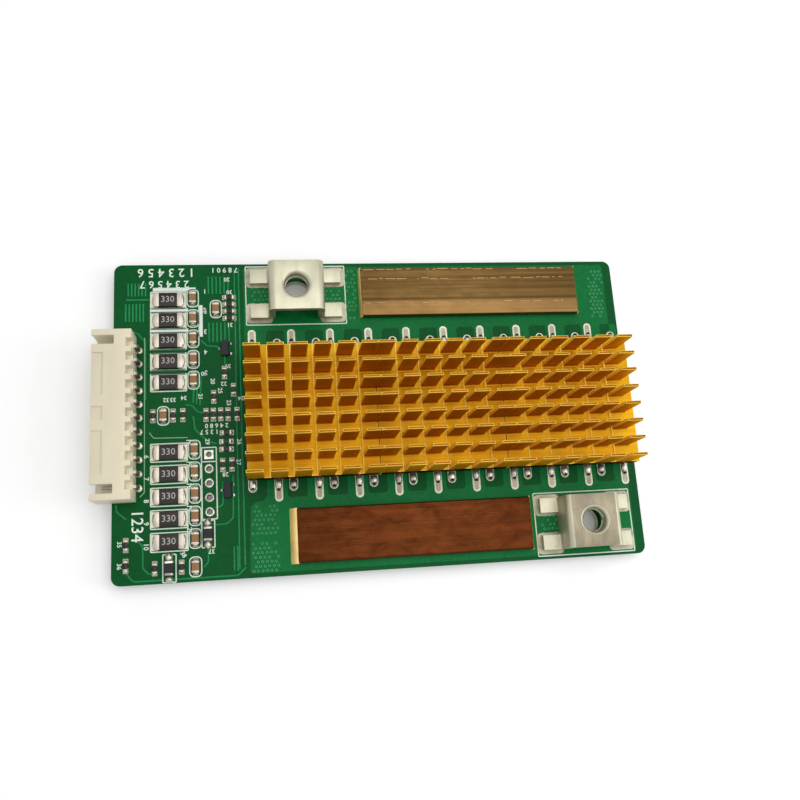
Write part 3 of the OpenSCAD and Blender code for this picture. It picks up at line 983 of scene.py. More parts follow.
# Tracks round the connector, the cell column, the header and the logic
TRACKS = [
    [(0.7, 13.8), (0.8, 12.6), (2.4, 11.2)],
    [(4.3, 9.6), (4.4, 7.3), (5.2, 6.5), (5.2, 2.8), (6.2, 1.7), (7.2, 1.7)],
    [(2.4, 2.2), (3.6, 0.6), (21.2, 0.6), (22.6, 1.9)],
    [(17.5, 9.5), (19.5, 9.6), (20.6, 10.6), (20.7, 18.1)],
    [(16.2, 5.4), (16.2, 3.1), (15.4, 2.4)],
    [(13.9, 29.0), (14.2, 26.7), (15.3, 25.4), (16.7, 24.3), (17.9, 23.9)],
    [(15.4, 43.2), (16.6, 42.1), (18.4, 42.0), (19.6, 40.8), (19.7, 38.5)],
    [(12.6, 31.2), (13.8, 31.0), (14.6, 29.9), (15.6, 29.6)],
    [(21.5, 1.6), (21.7, 57.0)],
    [(2.2, 51.2), (6.2, 51.2)],
    [(5.6, 32.4), (5.6, 43.0), (4.4, 44.6), (2.6, 45.4)],
    [(22.45, 2.2), (22.45, 57.2)],
    [(17.5, 12.6), (18.9, 12.6), (18.9, 17.0)],
    [(20.6, 5.6), (20.6, 1.4)],
    [(21.2, 5.6), (21.2, 1.4)],
]
TRACKS += comb(6, 16.9, 0.72, 42.9, 46.6)
TRACKS += comb(6, 16.9, 0.72, 52.2, 55.6)
TRACKS += comb(6, 2.5, 0.62, 51.9, 54.4)
TRACKS += comb(6, 2.1, 0.62, 47.0, 50.4)
TRACKS += [[(13.9 + 0.6 * k, 31.5 - 0.2 * k), (14.2 + 0.6 * k, 36.4)] for k in range(3)]

# Where the small parts' numbers are printed, as (x, y, turn)
PART_NUMBERS = [
    (17.4, 35.4, -90), (15.2, 32.6, -90), (19.4, 34.9, 180), (20.2, 31.3, -90),
    (22.4, 32.1, 180), (18.7, 33.6, -90), (21.9, 24.1, -90), (21.7, 20.4, -90),
    (19.4, 18.3, 180), (16.3, 24.3, -90), (20.7, 52.5, 180), (20.7, 46.1, 180),
    (9.2, 32.2, 180), (10.4, 32.2, 180), (12.3, 32.5, 180), (1.3, 7.0, -90),
    (1.3, 3.3, -90), (16.8, 5.0, 180), (12.0, 4.7, -60), (20.2, 38.2, 180),
    (15.9, 36.9, 180), (16.1, 49.0, -90),
]


# ---------- operators ----------


class BOARD_OT_laminate(Operator):
    """The board itself: mask on both faces, sawn edges and plated holes"""

    bl_idname = "board.laminate"
    bl_label = "Laminate"

    def execute(self, context):
        looks = ("mask", "edge", "land")
        bm = merged("circuit_board")
        for face in bm.faces:
            x, y, _ = TO_BOARD @ face.calc_center_median()
            outside = min(x, BOARD_L - x, y, BOARD_W - y) < 1
            look = "mask" if abs(face.normal.z) > 0.9 else "edge" if outside else "land"
            face.material_index = looks.index(look)
        show_shape("laminate", bm, "green_board", "circuit_board", looks=looks)
        return {"FINISHED"}


def gate_patches():
    """The clear laminate round each gate lead, as (x0, y0, x1, y1)."""
    patches = []
    for x, tip in lead_places(LOWER_ROW)[1][1:]:
        patches.append((x - 1.1, tip - 1.9, x + 2.45, tip + 4))
    for x, tip in lead_places(UPPER_ROW)[1]:
        patches.append((x - 2.0, tip - 4, x + 1.4, tip + 2.4))
    return patches


class BOARD_OT_copper(Operator):
    """Copper under the mask: power areas, the logic's ground, tracks and vias"""

    bl_idname = "board.copper"
    bl_label = "Copper Under The Mask"

    def execute(self, context):
        left = spot("heatsink_1").low.x - 0.1
        right, top = BOARD_L - END_RIM, BOARD_W - RIM
        below_parting, above_parting = BOARD_W / 2 - PARTING, BOARD_W / 2 + PARTING
        areas = [
            [(left, RIM), (left + 0.3, 12.2), (left + 1.1, 13.1), (left + 2.5, 13.2),
             (left + 3.3, 14.0), (left + 3.3, below_parting), (right, below_parting),
             (right, RIM), (left, RIM)],
            [(left, above_parting), (left, top), (right, top), (right, above_parting),
             (left, above_parting)],
        ]
        holes = [box_about(spot(node).mid, 3.2, 3.2) for node in TERMINALS.values()]
        grow_pour("power_areas", areas + [frame_line(*box) for box in gate_patches() + holes])
        grow_tracks("tracks", TRACKS, 0.9)
        grow_vias("vias")
        return {"FINISHED"}


class BOARD_OT_solder(Operator):
    """Tinned lands and the solder on them, for every lead, foot and end cap above"""

    bl_idname = "board.solder"
    bl_label = "Lands And Solder"

    def execute(self, context):
        mounds = lead_solder()
        feet = [
            (strap.mid.x + sx * (strap.size.x / 2 - 1.6),
             strap.mid.y + sy * (strap.size.y / 2 - 1.2))
            for strap in map(spot, TERMINALS.values())
            for sx in SIDES
            for sy in SIDES
        ]
        grow_lands("foot_lands", "film", feet, (4.9, 3.9), 0.8, steps=2)
        mounds += cell_solder() + chip_solder()
        for x, y in pin_tails():
            mounds += [((x, y), (0.72, 0.72, 0.3)), ((x, y, -BOARD_T), (0.8, 0.8, -0.75))]
        grow("solder_mounds", "tinned_strap", "solder", dome_tree, points_mesh(*zip(*mounds)),
             Segments=14)

        *round_ones, square_one = header_holes()
        rings = [(x, y, z) for x, y in round_ones for z in (0, -BOARD_T)]
        grow_rings("header_rings", "solder", rings, 0.66, 0.34, 32)
        step = board().land_step / MM
        bm = bmesh.new()
        for z0, z1 in ((-0.001, step), (-BOARD_T - step, -BOARD_T + 0.001)):
            square_land(bm, *square_one, 0.8, 0.5, z0, z1)
        show_shape("header_square_land", bm, "tinned_strap", looks=["solder"])
        return {"FINISHED"}


def lead_solder():
    """Show the transistors' lands, solder films and cut lead ends; the mounds are returned.

    A mound is a point and how far it reaches in x, y and z.
    """
    mounds, films, ends, source_lands, gate_lands = [], [], [], [], []
    for row, out in ((LOWER_ROW, -1), (UPPER_ROW, 1)):
        sources, gates = lead_places(row)
        for x, tip in sources:
            source_lands.append((x, tip + out * 0.3))
            films.append((x, tip + out * 0.75))
            ends.append((x, tip + out * 0.45, 0.34))
            mounds.append(((x, tip - out * 0.7), (0.66, 1.5, 0.66)))
        for x, tip in gates:
            gate_lands.append((x, tip - out * 0.95))
            ends.append((x, tip + out * 0.2, 0.4))
            mounds.append(((x, tip - out * 0.55), (0.7, 1.25, 0.66)))
    grow_lands("solder_films", "film", films, (0.85, 3.0), 0.42, steps=1.6)
    # Small dark domes at the lead tips: bare cut ends, darkened as painted shade
    reaches = [(0.34, 0.25, 0.26)] * len(ends)
    grow("cut_ends", "tinned_strap", "cut lead", dome_tree, points_mesh(ends, reaches),
         Segments=10)
    grow_lands("source_lands", "land", source_lands, (1.45, 4.6), 0.7)
    grow_lands("gate_lands", "land", gate_lands, (1.55, 3.5), 0.76)
    return mounds


def cell_solder():
    """Show the balance resistors' lands; the mounds on them are returned."""
    ends = [(c, s) for c in map(spot, CELL_RESISTORS) for s in SIDES]
    lands = [(c.mid.x + s * (c.size.x / 2 - 0.02), c.mid.y) for c, s in ends]
    grow_lands("cell_lands", "land", lands, (1.35, 2.75), 0.2)
    return [((c.mid.x + s * c.size.x / 2, c.mid.y), (0.36, 1.2, 0.4)) for c, s in ends]


def chip_solder():
    """Show the lands of the small chips and diodes; the mounds on them are returned."""
    lands, mounds = [], []
    for node in ("filter_capacitors", "chip_resistors", "diodes"):
        longest, rise = (0.95, 1.02) if node == "diodes" else (0.34, 0.72)
        for chip in extents(node):
            along, across = chip.size[chip.long] / 2, chip.size[1 - chip.long] / 2 * 0.92
            for side in SIDES:
                x = chip.mid.x + (0 if chip.long else side * along)
                y = chip.mid.y + (side * along if chip.long else 0)
                lands.append((x, y))
                # No mound runs past the board's edge
                run = min(longest, x, y)
                flat = (across, run) if chip.long else (run, across)
                mounds.append(((x, y), (*flat, chip.size.z * rise)))
    grow_lands("chip_lands", "film", lands, (0.92, 0.92), 0.12)
    return mounds


def square_land(bm, x, y, half, ring, z0, z1, steps=32):
    """A square plate with a round hole, between two heights."""
    loops = []
    for z in (z0, z1):
        inner, outer = [], []
        for k in range(steps):
            a = 2 * math.pi * k / steps
            c, s = math.cos(a), math.sin(a)
            reach = half / max(abs(c), abs(s))
            inner.append(bm.verts.new(place(x + ring * c, y + ring * s, z)))
            outer.append(bm.verts.new(place(x + reach * c, y + reach * s, z)))
        loops.append((inner, outer))
    (in0, out0), (in1, out1) = loops
    for k in range(steps):
        n = (k + 1) % steps
        bm.faces.new([in1[k], out1[k], out1[n], in1[n]])
        bm.faces.new([in0[n], out0[n], out0[k], in0[k]])
        bm.faces.new([out0[k], out0[n], out1[n], out1[k]])
        bm.faces.new([in1[k], in1[n], in0[n], in0[k]])


# Heatsink finishes: painted shade for the bases' sides, fins and floors, fin tops, sawn ends
# partly painted highlight, painted highlight on edges
SINK_LOOKS = ("gold", "floor gold", "fin top", "sawn gold", "edge highlight gold")


class BOARD_OT_heatsinks(Operator):
    """The cross-cut heatsinks: a base with one fin on each of the CAD node's fin tops"""

    bl_idname = "board.heatsinks"
    bl_label = "Heatsinks"

    def execute(self, context):
        for node in HEATSINKS:
            sink = spot(node)
            tops, floor = fin_tops(node, sink)
            bm = dressed_fins(sink, tops, floor)
            add_base(bm, sink, floor)
            show_shape(node + "_fins", bm, "gold_aluminium", node, looks=SINK_LOOKS)
            # A low burr along each saw cut, painted pale as a highlight
            cuts = sorted({round(top.low.x, 2) - 0.14 for top in tops})[1:]
            burr_highlights = [[(x, sink.low.y + 0.1, floor), (x, sink.high.y - 0.1, floor)] for x in cuts]
            grow(node + "_burrs", "gold_aluminium", "edge highlight gold", ribbon_tree,
                 lines_mesh(burr_highlights), Width=0.3 * MM, Height=0.14 * MM)
        for node in TAPES:
            bm = merged(node)
            soften(bm, 0.12 * MM, 3)
            show_shape(node + "_strip", bm, "thermal_tape", node, looks=["tape"])
        return {"FINISHED"}


def fin_tops(node, sink):
    """The extent of each fin's flat top, and the height of the floor between the fins."""
    bm = merged(node)
    flats = [f for f in bm.faces if f.normal.z > 0.99]
    heights = [(TO_BOARD @ f.calc_center_median()).z for f in flats]
    tops = [Extent([v.co for v in f.verts])
            for f, z in zip(flats, heights) if sink.high.z - z < 0.01]
    floor = next(z for z in heights if sink.high.z - z >= 0.01)
    bm.free()
    return tops, floor


def dressed_fins(sink, tops, floor):
    """A fin under each top, with its faces given their finishes."""
    fin = fin_object(tops[0].size, sink.high.z - floor)
    roots = points_mesh([(top.mid.x, top.mid.y, floor) for top in tops])
    mesh = grown(fin_tree, "floor gold", roots, Fin=fin)
    bpy.data.objects.remove(fin)
    # The outer fins' flared roots stop at the base's sides
    low, high = place(*sink.low).y, place(*sink.high).y
    for v in mesh.vertices:
        v.co.y = min(max(v.co.y, low), high)
    bm = bmesh.new()
    bm.from_mesh(mesh)
    bm.normal_update()
    for face in bm.faces:
        height = (TO_BOARD @ face.calc_center_median()).z
        look = "floor gold"
        # The sawn ends, partly painted highlight
        if abs(face.normal.x) > 0.9:
            look = "sawn gold"
        # Near the tops: the flat tops get their own tint, and the rounded edges a painted
        # highlight
        elif sink.high.z - height < 1.2 * power().fin_edge / MM:
            look = "fin top" if face.normal.z > 0.9 else "edge highlight gold"
        face.material_index = SINK_LOOKS.index(look)
    return bm


def add_base(bm, sink, floor):
    """The base under the fins: a floor between them, edges painted as highlight, sides as shade.
    """
    fins = set(bm.faces)
    base = bmesh.ops.create_cube(bm, size=1)["verts"]
    size = Vector((sink.size.x, sink.size.y, floor - sink.low.z)) * MM
    bmesh.ops.scale(bm, vec=size, verts=base)
    middle = place(sink.mid.x, sink.mid.y, (sink.low.z + floor) / 2)
    bmesh.ops.translate(bm, vec=middle, verts=base)
    round_edges(bm, list({e for v in base for e in v.link_edges}), power().fin_edge, 2)
    bm.normal_update()
    for face in set(bm.faces) - fins:
        # Painted shade on the sides; painted highlight on the small faces of the rounded edges
        look = "floor gold" if face.normal.z > 0.99 else "gold"
        if face.calc_area() <= 2 * MM * MM:
            look = "edge highlight gold"
        face.material_index = SINK_LOOKS.index(look)


def fin_object(size, height):
    """A single fin, standing on z = 0, flared at its root and eased along its edges."""
    looks = power()
    half, root = size.y / 2, looks.fin_root / MM
    profile = [(half, height)]
    for k in range(6):
        a = math.pi / 2 * k / 5
        profile.append((half + root * (1 - math.cos(a)), root * (1 - math.sin(a))))
    profile.append((half + root, -0.1))
    outline = profile + [(-y, z) for y, z in reversed(profile)]
    bm = bmesh.new()
    rings = [[bm.verts.new((x * MM, y * MM, z * MM)) for y, z in outline]
             for x in (-size.x / 2, size.x / 2)]
    closed_prism(bm, rings)
    bmesh.ops.recalc_face_normals(bm, faces=bm.faces)
    # All edges but the flare's, down to the root
    edges = [e for e in bm.edges
             if e.calc_face_angle(0) > math.radians(60)
             and min(v.co.z for v in e.verts) > (root + 0.01) * MM]
    round_edges(bm, edges, looks.fin_edge, 2)
    return linked("fin", mesh_of(bm, "fin"))


def split_leads(bm):
    """Give each package's moulding the first finish, and what lies outside it the second."""
    slack = 0.24
    for package, faces in solids(bm):
        level = package.high.z if package.high.z > 0 else package.low.z
        points = (TO_BOARD @ v.co for f in faces for v in f.verts)
        tops = [p for p in points if abs(p.z - level) < 0.02]
        x0, x1 = min(p.x for p in tops) - slack, max(p.x for p in tops) + slack
        y0, y1 = min(p.y for p in tops) - slack, max(p.y for p in tops) + slack
        for face in faces:
            c = TO_BOARD @ face.calc_center_median()
            face.material_index = int(not (x0 <= c.x <= x1 and y0 <= c.y <= y1))


def show_package(name, *nodes, edge=0.0, segments=1):
    """Moulded packages with their leads; edge is the rounding of their edges."""
    bm = merged(*nodes)
    split_leads(bm)
    if edge:
        soften(bm, edge * MM, segments)
    show_shape(name, bm, "black_moulding", *nodes, looks=("moulding", "solder"))


class BOARD_OT_transistors(Operator):
    """The two rows of power transistors under the heatsinks"""

    bl_idname = "board.transistors"
    bl_label = "Power Transistors"

    def execute(self, context):
        show_package("power_transistors", *LOWER_ROW, *UPPER_ROW, edge=0.07, segments=2)
        return {"FINISHED"}


class BOARD_OT_terminals(Operator):
    """The formed screw terminals and the thread inside each"""

    bl_idname = "board.terminals"
    bl_label = "Screw Terminals"

    def execute(self, context):
        looks = power()
        for name, node in TERMINALS.items():
            thread, middle = mount("screw_thread_" + name)
            radius = thread["dims"]["r_mm"]
            level = spot(node).high.z
            bm = merged(node)
            # The hole's edge in the top face is dished
            rim = [e for e in bm.edges if all(
                level - p.z < 0.02 and math.hypot(p.x - middle.x, p.y - middle.y) < radius + 0.4
                for p in (TO_BOARD @ v.co for v in e.verts))]
            round_edges(bm, rim, looks.dish, 4)
            soften(bm, looks.strap_edge, 3)
            bm.normal_update()
            for face in bm.faces:
                height = (TO_BOARD @ face.calc_center_median()).z
                face.material_index = int(level - height < 0.05 and face.normal.z > 0.9)
            top = "tin" if name == "upper" else "dull tin"
            show_shape(node + "_strap", bm, "tinned_strap", node, looks=("tin", top))
            run = thread["dims"]["length_mm"] - 0.2 - looks.dish / MM
            foot = middle.z - (run + looks.dish / MM) / 2
            grow(node + "_thread", "tinned_strap", "tin", thread_tree,
                 points_mesh([(middle.x, middle.y, foot)]), Radius=radius * MM,
                 Depth=looks.thread_depth, Length=run * MM,
                 Turns=run * MM / looks.thread_pitch)
        return {"FINISHED"}


class BOARD_OT_bars(Operator):
    """The copper bars, and the solder that wets their ends"""

    bl_idname = "board.bars"
    bl_label = "Copper Bars"

    def execute(self, context):
        dashes, scratches = bar_glints_and_scratches()
        # Each bar's metal, how far solder runs out at its left end, and the lines, width
        # and finish of its marks
        dress = {
            # The upper bar's marks are painted highlights; the lower bar's are scratches
            "upper": ("brown copper", 0.4, dashes, 0.12, "copper scratch"),
            "lower": ("red copper", 1.3, scratches, 0.09, "red scratch"),
        }
        for name, (copper, wetted, *_) in dress.items():
            node = BARS[name]
            bm = merged(node)
            soften(bm, power().bar_edge)
            show_shape(node + "_bar", bm, "bare_copper", node, looks=[copper])
            bm = bmesh.new()
            add_fillet(bm, spot(node), -1, wetted)
            add_fillet(bm, spot(node), 1, 0.35)
            show_shape(node + "_solder", bm, "tinned_strap", looks=["bright solder"])
        for name, (*_, lines, width, polish) in dress.items():
            grow(BARS[name] + "_scratches", "bare_copper", polish, ribbon_tree,
                 lines_mesh(lines), Width=width * MM, Height=0.03 * MM)
        return {"FINISHED"}


def bar_glints_and_scratches():
    """Dashes of painted highlight along the upper bar, and the few scratches on the lower one."""
    pick = random.Random(9)
    dashes, scratches = [], []
    bar = spot(BARS["upper"])
    for share, filled in ((0.26, 0.45), (0.77, 0.8), (0.97, 0.6)):
        x = bar.low.x + 0.6
        while x < bar.high.x - 3:
            run = pick.uniform(0.3, 2.2)
            y = bar.low.y + bar.size.y * share + pick.uniform(-0.08, 0.08)
            if pick.random() < filled:
                dashes.append([(x, y, bar.high.z), (x + run, y, bar.high.z)])
            x += run + pick.uniform(0.15, 0.9)
    bar = spot(BARS["lower"])
    for _ in range(26):
        x = bar.low.x + bar.size.x * pick.uniform(0.02, 0.9)
        y = bar.low.y + bar.size.y * pick.uniform(0.06, 0.94)
        run, rise = pick.uniform(0.3, 2.4), pick.uniform(-0.25, 0.25)
        y_end = min(max(y + rise, bar.low.y + 0.3), bar.high.y - 0.3)
        scratches.append([(x, y, bar.high.z), (x + run, y_end, bar.high.z)])
    return dashes, scratches


def add_fillet(bm, bar, side, run, steps=6):
    """Solder against one end of a bar: full, from near the bar's top edge to the board."""
    x_end = bar.low.x if side < 0 else bar.high.x
    height = bar.size.z * 0.86
    outline = [(x_end - side * 0.1, -0.01), (x_end - side * 0.1, height)]
    for k in range(steps):
        share = k / steps
        outline.append((x_end + side * run * share, height * (1 - share ** 1.8)))
    outline.append((x_end + side * run, -0.01))
    rings = [[bm.verts.new(place(x, y, z)) for x, z in outline]
             for y in (bar.high.y + 0.1, bar.low.y - 0.1)]
    bmesh.ops.recalc_face_normals(bm, faces=closed_prism(bm, rings))


class BOARD_OT_connector(Operator):
    """The cell connector: its housing and its row of bent pins"""

    bl_idname = "board.connector"
    bl_label = "Cell Connector"

    def execute(self, context):
        bm = merged("connector_housing")
        soften(bm, parts().housing_edge)
        show_shape("connector_shell", bm, "ivory_nylon", "connector_housing", looks=["nylon"])
        bm = merged("connector_pins")
        soften(bm, 0.05 * MM, 1)
        show_shape("connector_contacts", bm, "tinned_pins", "connector_pins", looks=["pin"])
        return {"FINISHED"}


def cap_ends(bm, share):
    """Give each chip's ends the second finish; share is how much of its length each takes."""
    for chip, faces in solids(bm):
        reach = chip.size[chip.long] * (0.5 - share)
        for face in faces:
            c = TO_BOARD @ face.calc_center_median()
            face.material_index = int(abs(c[chip.long] - chip.mid[chip.long]) > reach)


def cut_caps(bm, share):
    """Cut the faces that run past each chip's end caps."""
    for chip in [extent for extent, _ in solids(bm)]:
        for side in SIDES:
            at, across = chip.mid.copy(), Vector()
            at[chip.long] += side * chip.size[chip.long] * (0.5 - share)
            across[chip.long] = 1
            bmesh.ops.bisect_plane(bm, geom=[*bm.verts, *bm.edges, *bm.faces],
                                   plane_co=place(*at), plane_no=across)


def show_chips(name, slot, body, *nodes):
    """Chips with a body of one finish and tinned ends."""
    bm = merged(*nodes)
    cap_ends(bm, parts().cap_share)
    soften(bm, parts().chip_edge)
    show_shape(name, bm, slot, *nodes, looks=(body, "cap"))


class BOARD_OT_cell_resistors(Operator):
    """The ten balance resistors, with plain figures on their glaze"""

    bl_idname = "board.cell_resistors"
    bl_label = "Balance Resistors"

    def execute(self, context):
        show_chips("cell_resistor_bodies", "resistor_black", "glaze", *CELL_RESISTORS)
        entries = [("330", chip.mid.x - 0.05, chip.mid.y + 0.05, 1.22, 0, chip.high.z - 0.03)
                   for chip in map(spot, CELL_RESISTORS)]
        show("resistor_figures", figures_mesh("resistor_figures", entries, 0.02),
             "resistor_black", looks=["figures"])
        return {"FINISHED"}


class BOARD_OT_small_parts(Operator):
    """Capacitors, small resistors, diodes and three-lead packages above"""

    bl_idname = "board.small_parts"
    bl_label = "Small Parts"

    def execute(self, context):
        show_chips("capacitor_bodies", "capacitor_tan", "ceramic", "filter_capacitors")
        show_chips("small_resistor_bodies", "resistor_black", "glaze", "chip_resistors")
        bm = merged("diodes")
        cut_caps(bm, 0.27)
        cap_ends(bm, 0.27)
        soften(bm, 0.05 * MM, 1)
        show_shape("diodes_packages", bm, "black_moulding", "diodes",
                   looks=("moulding", "solder"))
        show_package("small_transistors_packages", "small_transistors", edge=0.05)
        return {"FINISHED"}


class BOARD_OT_underside(Operator):
    """What the board carries below: protection circuits, cell transistors and shunts"""

    bl_idname = "board.underside"
    bl_label = "Underside"

    def execute(self, context):
        for node in ("protection_ic_1", "protection_ic_2", "balance_transistors"):
            show_package(node + "_package", node)
        show_chips("shunt_bodies", "resistor_black", "glaze", "shunt_resistors")
        cells, shunts = (sorted(extents(node), key=lambda chip: chip.mid.y)
                         for node in ("balance_transistors", "shunt_resistors"))
        circuits = [spot(node) for node in CIRCUITS]
        underside_copper(cells, shunts, circuits)
        underside_lands(cells, shunts)
        underside_print(cells, shunts, circuits)
        return {"FINISHED"}


def screw_places():
    """The middle of each screw terminal, as (x, y)."""
    return [spot(node).mid.xy for node in TERMINALS.values()]


def underside_copper(cells, shunts, circuits):
    """Copper areas parted at the shunts and cleared round the screws, tracks and vias."""
    left, split = circuits[0].high.x + 2, shunts[0].mid.x
    areas = [frame_line(left, RIM, split - 1, BOARD_W - RIM),
             frame_line(split + 1, RIM, BOARD_L - END_RIM, BOARD_W - RIM)]
    areas += [round_line(x, y, 4) for x, y in screw_places()]
    grow_pour("underside_areas", areas, under=True)
    grow_tracks("underside_tracks", underside_tracks(cells, circuits, left), 0.7, under=True)
    grow_vias("underside_vias", under=True)


def underside_tracks(cells, circuits, left):
    """Tracks from the connector to the cell transistors, and on to the circuits."""
    tails = sorted(pin_tails(), key=lambda tail: tail.y)
    lines = []
    for tail, cell in zip(tails, cells):
        lines.append([(tail.x, tail.y), (5.6, tail.y), (7.2, cell.mid.y), (8.4, cell.mid.y)])
    # The lower circuit's tracks pass between the header's holes
    heights = [15.3, 15.9, 18.0, 18.55, 20.7, 36.4, 38.3, 40.2, 42.1, 44.0]
    turns = [14.3, 13.7, 13.1, 12.5, 11.9, 11.9, 12.5, 13.1, 13.7, 14.3]
    for k, (cell, x, y) in enumerate(zip(cells, turns, heights)):
        start = cell.mid.y - 0.95
        lines.append([(cell.high.x, start), (x, start), (x, y), (circuits[k // 5].low.x, y)])
    for circuit in circuits:
        for k in range(6):
            y = circuit.low.y + 0.9 + 1.6 * k
            lines.append([(circuit.high.x, y), (left + 0.3, y)])
    return lines


def underside_lands(cells, shunts):
    """Lands for every lead below, and the rings round the screws' holes."""
    grow_rings("screw_rings", "film", screw_places(), 3.3, 0.9, 48, under=True)
    ends = [(x, c.mid.y) for c in shunts for x in (c.low.x + 0.2, c.high.x - 0.2)]
    grow_lands("shunt_lands", "film", ends, (2.2, 3.7), 0.3, under=True)
    ends = [(c.low.x, c.mid.y) for c in cells]
    ends += [(c.high.x, c.mid.y + s * 0.95) for c in cells for s in SIDES]
    grow_lands("balance_lands", "land", ends, (1.0, 0.8), 0.1, under=True)
    ends = [end for node in reversed(CIRCUITS) for end in circuit_leads(node)]
    grow_lands("circuit_lands", "land", ends, (1.3, 0.38), 0.05, under=True)


def circuit_leads(node):
    """Where each lead of a protection circuit ends, on both of its long sides."""
    body = spot(node)
    leads = []
    for x in (body.low.x, body.high.x):
        ys = sorted({round(p.y, 2) for p in corners(node) if abs(p.x - x) < 0.02})
        leads += [(x, (y0 + y1) / 2) for y0, y1 in zip(ys[::2], ys[1::2])]
    return leads


def underside_print(cells, shunts, circuits):
    """Frames and plain figures below."""
    frames = [frame_round(c, 1, 0.4) for c in circuits]
    frames += [frame_round(c, 1.2, 0.4) for c in shunts]
    frames += [[(c.low.x + 0.5, y), (c.high.x - 0.5, y)]
               for c in cells for y in (c.low.y - 0.25, c.high.y + 0.25)]
    frames += [frame_line(3.3, 14.9, 5.7, 43.1)]
    grow_print("underside_frames", frames, 0.18, 0.15, under=True)
    entries = [(str(k + 1), c.high.x + 2.2, c.mid.y, 1.3, 0, FIGURE_LEVEL)
               for k, c in enumerate(shunts)]
    entries += [(str(k + 1), c.mid.x, c.high.y + 1.4, 1.2, 0, FIGURE_LEVEL)
                for k, c in enumerate(circuits)]
    figures = figures_mesh("underside_figures", entries, board().ink_step / MM, FIGURE_BOLD,
                           swapped=True)
    show("underside_figures", below(figures, turned=True), "green_board", looks=["ink"])


class BOARD_OT_print(Operator):
    """White print: frames, strips and plain figures"""

    bl_idname = "board.print"
    bl_label = "Print"

    def execute(self, context):
        cells = [spot(node) for node in CELL_RESISTORS]
        header = mount("service_header")[1]
        half = HEADER_HOLES * HEADER_PITCH / 2
        last_hole = header.y + half - HEADER_PITCH
        frames = [frame_line(*box_about(spot(node).mid, 9.3, 5.75))
                  for node in TERMINALS.values()]
        frames.append(frame_line(*box_about(header, 1.3, half)))
        frames.append([(header.x - 1.3, last_hole), (header.x + 1.3, last_hole)])
        frames += [frame_round(c, 0.62, 0.3) for c in cells]
        frames += [frame_round(diode, 0.3, 0.5) for diode in extents("diodes")]
        grow_print("print_frames", frames, 0.21, 0.15)
        outlines = [frame_round(chip, 0.38, 0.68) for chip in extents("filter_capacitors")]
        grow_print("print_outlines", outlines, 0.2, 0.75)

        # Thick strips and pairs of thin lines between the balance resistors
        between = [c.mid.y - (cells[0].mid.y - cells[1].mid.y) / 2 for c in cells[:4]]
        strips = [[(6.4, y), (13.2, y)] for y in between[:2]]
        strips += [[(15.4, 43.9), (15.4, 50)], [(6.9, 53.1), (14.6, 53.1)]]
        grow_print("print_strips", strips, 0.8, 0.1)
        shell = spot("connector_housing")
        lines = [[(5.45, shell.high.y), (5.45, shell.low.y + 1.6), (4.7, shell.low.y + 0.9)]]
        lines += [[(6.6, y + s), (12.6, y + s)] for y in between[2:] for s in (-0.3, 0.3)]
        lines += [[(6.3, 26.3), (7.0, 25.3), (12.9, 25.2)]]
        grow_print("print_lines", lines, 0.18, 0.6, "faint ink")
        entries = [(*entry, FIGURE_LEVEL) for entry in print_entries(cells)]
        figures = figures_mesh("print_figures", entries, board().ink_step / MM, FIGURE_BOLD)
        show("print_figures", figures, "green_board", looks=["ink"])
        return {"FINISHED"}


def print_entries(cells):
    """Plain figures beside the parts, as (figures, x, y, height, turn)."""
    entries = [
        ("1 2 3 4 5 6", 9.3, 56.5, 1.75, 180),
        ("7 8 9 0 1", 19.9, 56.9, 1.0, 180),
        ("2 3 4 5 6 7", 9.0, 54.2, 1.5, 180),
        ("1234", 4.2, 10.0, 2.1, -90),
        ("20", 20.3, 55.0, 0.8, 180),
    ]
    for k, c in enumerate(cells):
        if k < 5:
            entries.append((str(k + 1), c.mid.x + 6.6, c.mid.y + 1.7, 0.9, 180))
        else:
            entries.append((str(k + 1), c.mid.x - 3.9, c.mid.y - 0.6, 0.9, -90))
            entries.append((str(k + 11), c.mid.x + 3.4, c.mid.y + 1.75, 0.9, -90))
    entries += [(str(20 + k), x, y, 0.8, turn) for k, (x, y, turn) in enumerate(PART_NUMBERS)]
    entries += [("2 4 6 8 0", 18.0, 27.2, 0.85, 180), ("1 3 5 7", 16.7, 26.1, 0.85, 180)]
    return entries


def camera_sees(tree):
    """1 where the camera looks, straight or by gloss or glass, and 0 for all other rays."""
    path = tree.nodes.new("ShaderNodeLightPath").outputs
    seen = path["Is Camera Ray"]
    for ray in ("Is Glossy Ray", "Is Transmission Ray"):
        seen = add_node(tree, "ShaderNodeMath", {0: seen, 1: path[ray]}, operation="MAXIMUM")
    return seen


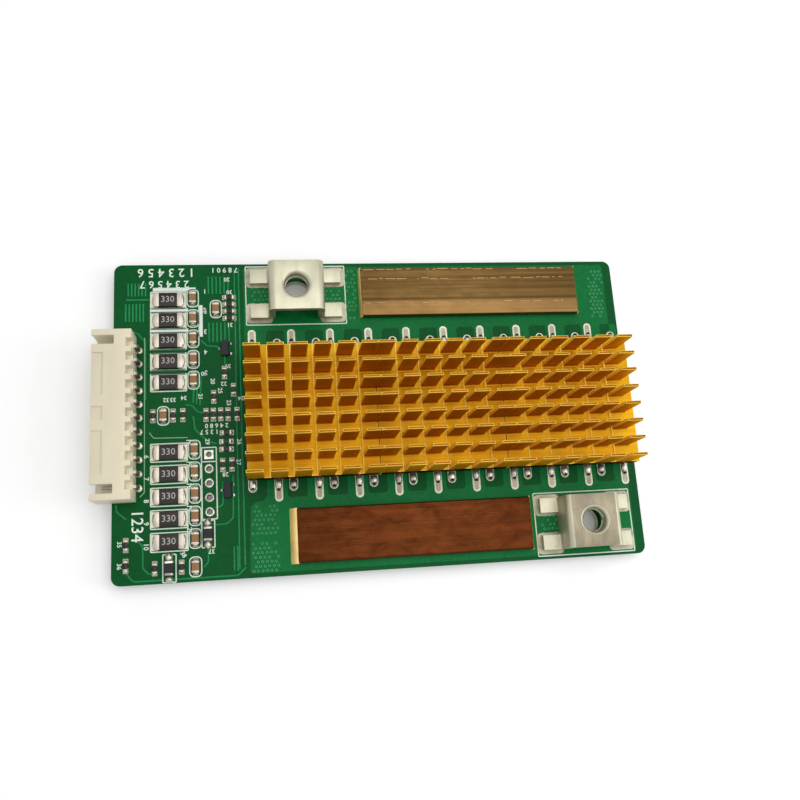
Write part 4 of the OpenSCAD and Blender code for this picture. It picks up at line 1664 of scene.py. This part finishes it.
class BOARD_OT_stage(Operator):
    """Pale floor, soft studio light and the camera"""

    bl_idname = "board.stage"
    bl_label = "Stage"

    def execute(self, context):
        looks = context.scene.stage_looks
        scene = context.scene
        white = (1, 1, 1, 1)
        look = Finish("Pale Floor", 0.7, Base_Color=shade(linear(looks.floor), 1),
                      Emission_Color=white)
        look.feed("Emission Strength", look.span(camera_sees(look.tree), 0.0, 0.12))
        mesh = bpy.data.meshes.new("floor")
        reach = 3.0
        mesh.from_pydata([(-reach, -reach, 0), (reach, -reach, 0), (reach, reach, 0),
                          (-reach, reach, 0)], [], [(0, 1, 2, 3)])
        mesh.materials.append(look.material)
        linked("floor", mesh)

        world = bpy.data.worlds.new("Studio")
        world.use_nodes = True
        scene.world = world
        tree = world.node_tree
        background = tree.nodes["Background"].inputs
        inputs = {"Value": camera_sees(tree), "To Min": looks.sky, "To Max": 1.0}
        strength = add_node(tree, "ShaderNodeMapRange", inputs)
        tree.links.new(strength, background["Strength"])
        background["Color"].default_value = white

        lamps = [
            ("softbox", looks.softbox, 0.42, (0.08, 0.05, 0.44)),
            ("side_lamp", looks.side, 0.2, (0.36, -0.05, 0.22)),
        ]
        for name, energy, size, where in lamps:
            lamp = bpy.data.lights.new(name, "AREA")
            lamp.energy = energy
            lamp.shape = "SQUARE"
            lamp.size = size
            rig = linked(name, lamp)
            rig.location = where
            rig.rotation_euler = (-Vector(where)).to_track_quat("-Z", "Y").to_euler()

        camera = bpy.data.cameras.new("camera")
        camera.lens = looks.lens
        camera.clip_start = 0.01
        eye = linked("camera", camera)
        eye.location = looks.camera_place
        eye.rotation_euler = looks.camera_turn
        scene.camera = eye
        scene.view_settings.view_transform = "Standard"
        return {"FINISHED"}


OPERATORS = (
    BOARD_OT_laminate,
    BOARD_OT_copper,
    BOARD_OT_solder,
    BOARD_OT_print,
    BOARD_OT_heatsinks,
    BOARD_OT_transistors,
    BOARD_OT_terminals,
    BOARD_OT_bars,
    BOARD_OT_connector,
    BOARD_OT_cell_resistors,
    BOARD_OT_small_parts,
    BOARD_OT_underside,
    BOARD_OT_stage,
)


class BOARD_PT_looks(Panel):
    """The board's settings and the steps that build it"""

    bl_label = "Battery Management Board"
    bl_space_type = "VIEW_3D"
    bl_region_type = "UI"
    bl_category = "Board"

    def draw(self, context):
        layout = self.layout
        for group in (board(), power(), parts(), context.scene.stage_looks):
            box = layout.box()
            for key in group.bl_rna.properties.keys():
                if key not in ("rna_type", "name"):
                    box.prop(group, key)
        for step in OPERATORS:
            layout.operator(step.bl_idname)


SETTINGS = {
    "board_looks": BoardSettings,
    "power_looks": PowerSettings,
    "part_looks": PartSettings,
    "stage_looks": StageSettings,
}


def register():
    for kind in (*SETTINGS.values(), *OPERATORS, BOARD_PT_looks):
        bpy.utils.register_class(kind)
    for name, kind in SETTINGS.items():
        setattr(bpy.types.Scene, name, PointerProperty(type=kind))


def unregister():
    for name in SETTINGS:
        delattr(bpy.types.Scene, name)
    for kind in (BOARD_PT_looks, *reversed(OPERATORS), *reversed(SETTINGS.values())):
        bpy.utils.unregister_class(kind)


def main():
    register()
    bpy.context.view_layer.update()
    for step in OPERATORS:
        group, name = step.bl_idname.split(".")
        getattr(getattr(bpy.ops, group), name)()


if __name__ == "__main__":
    main()
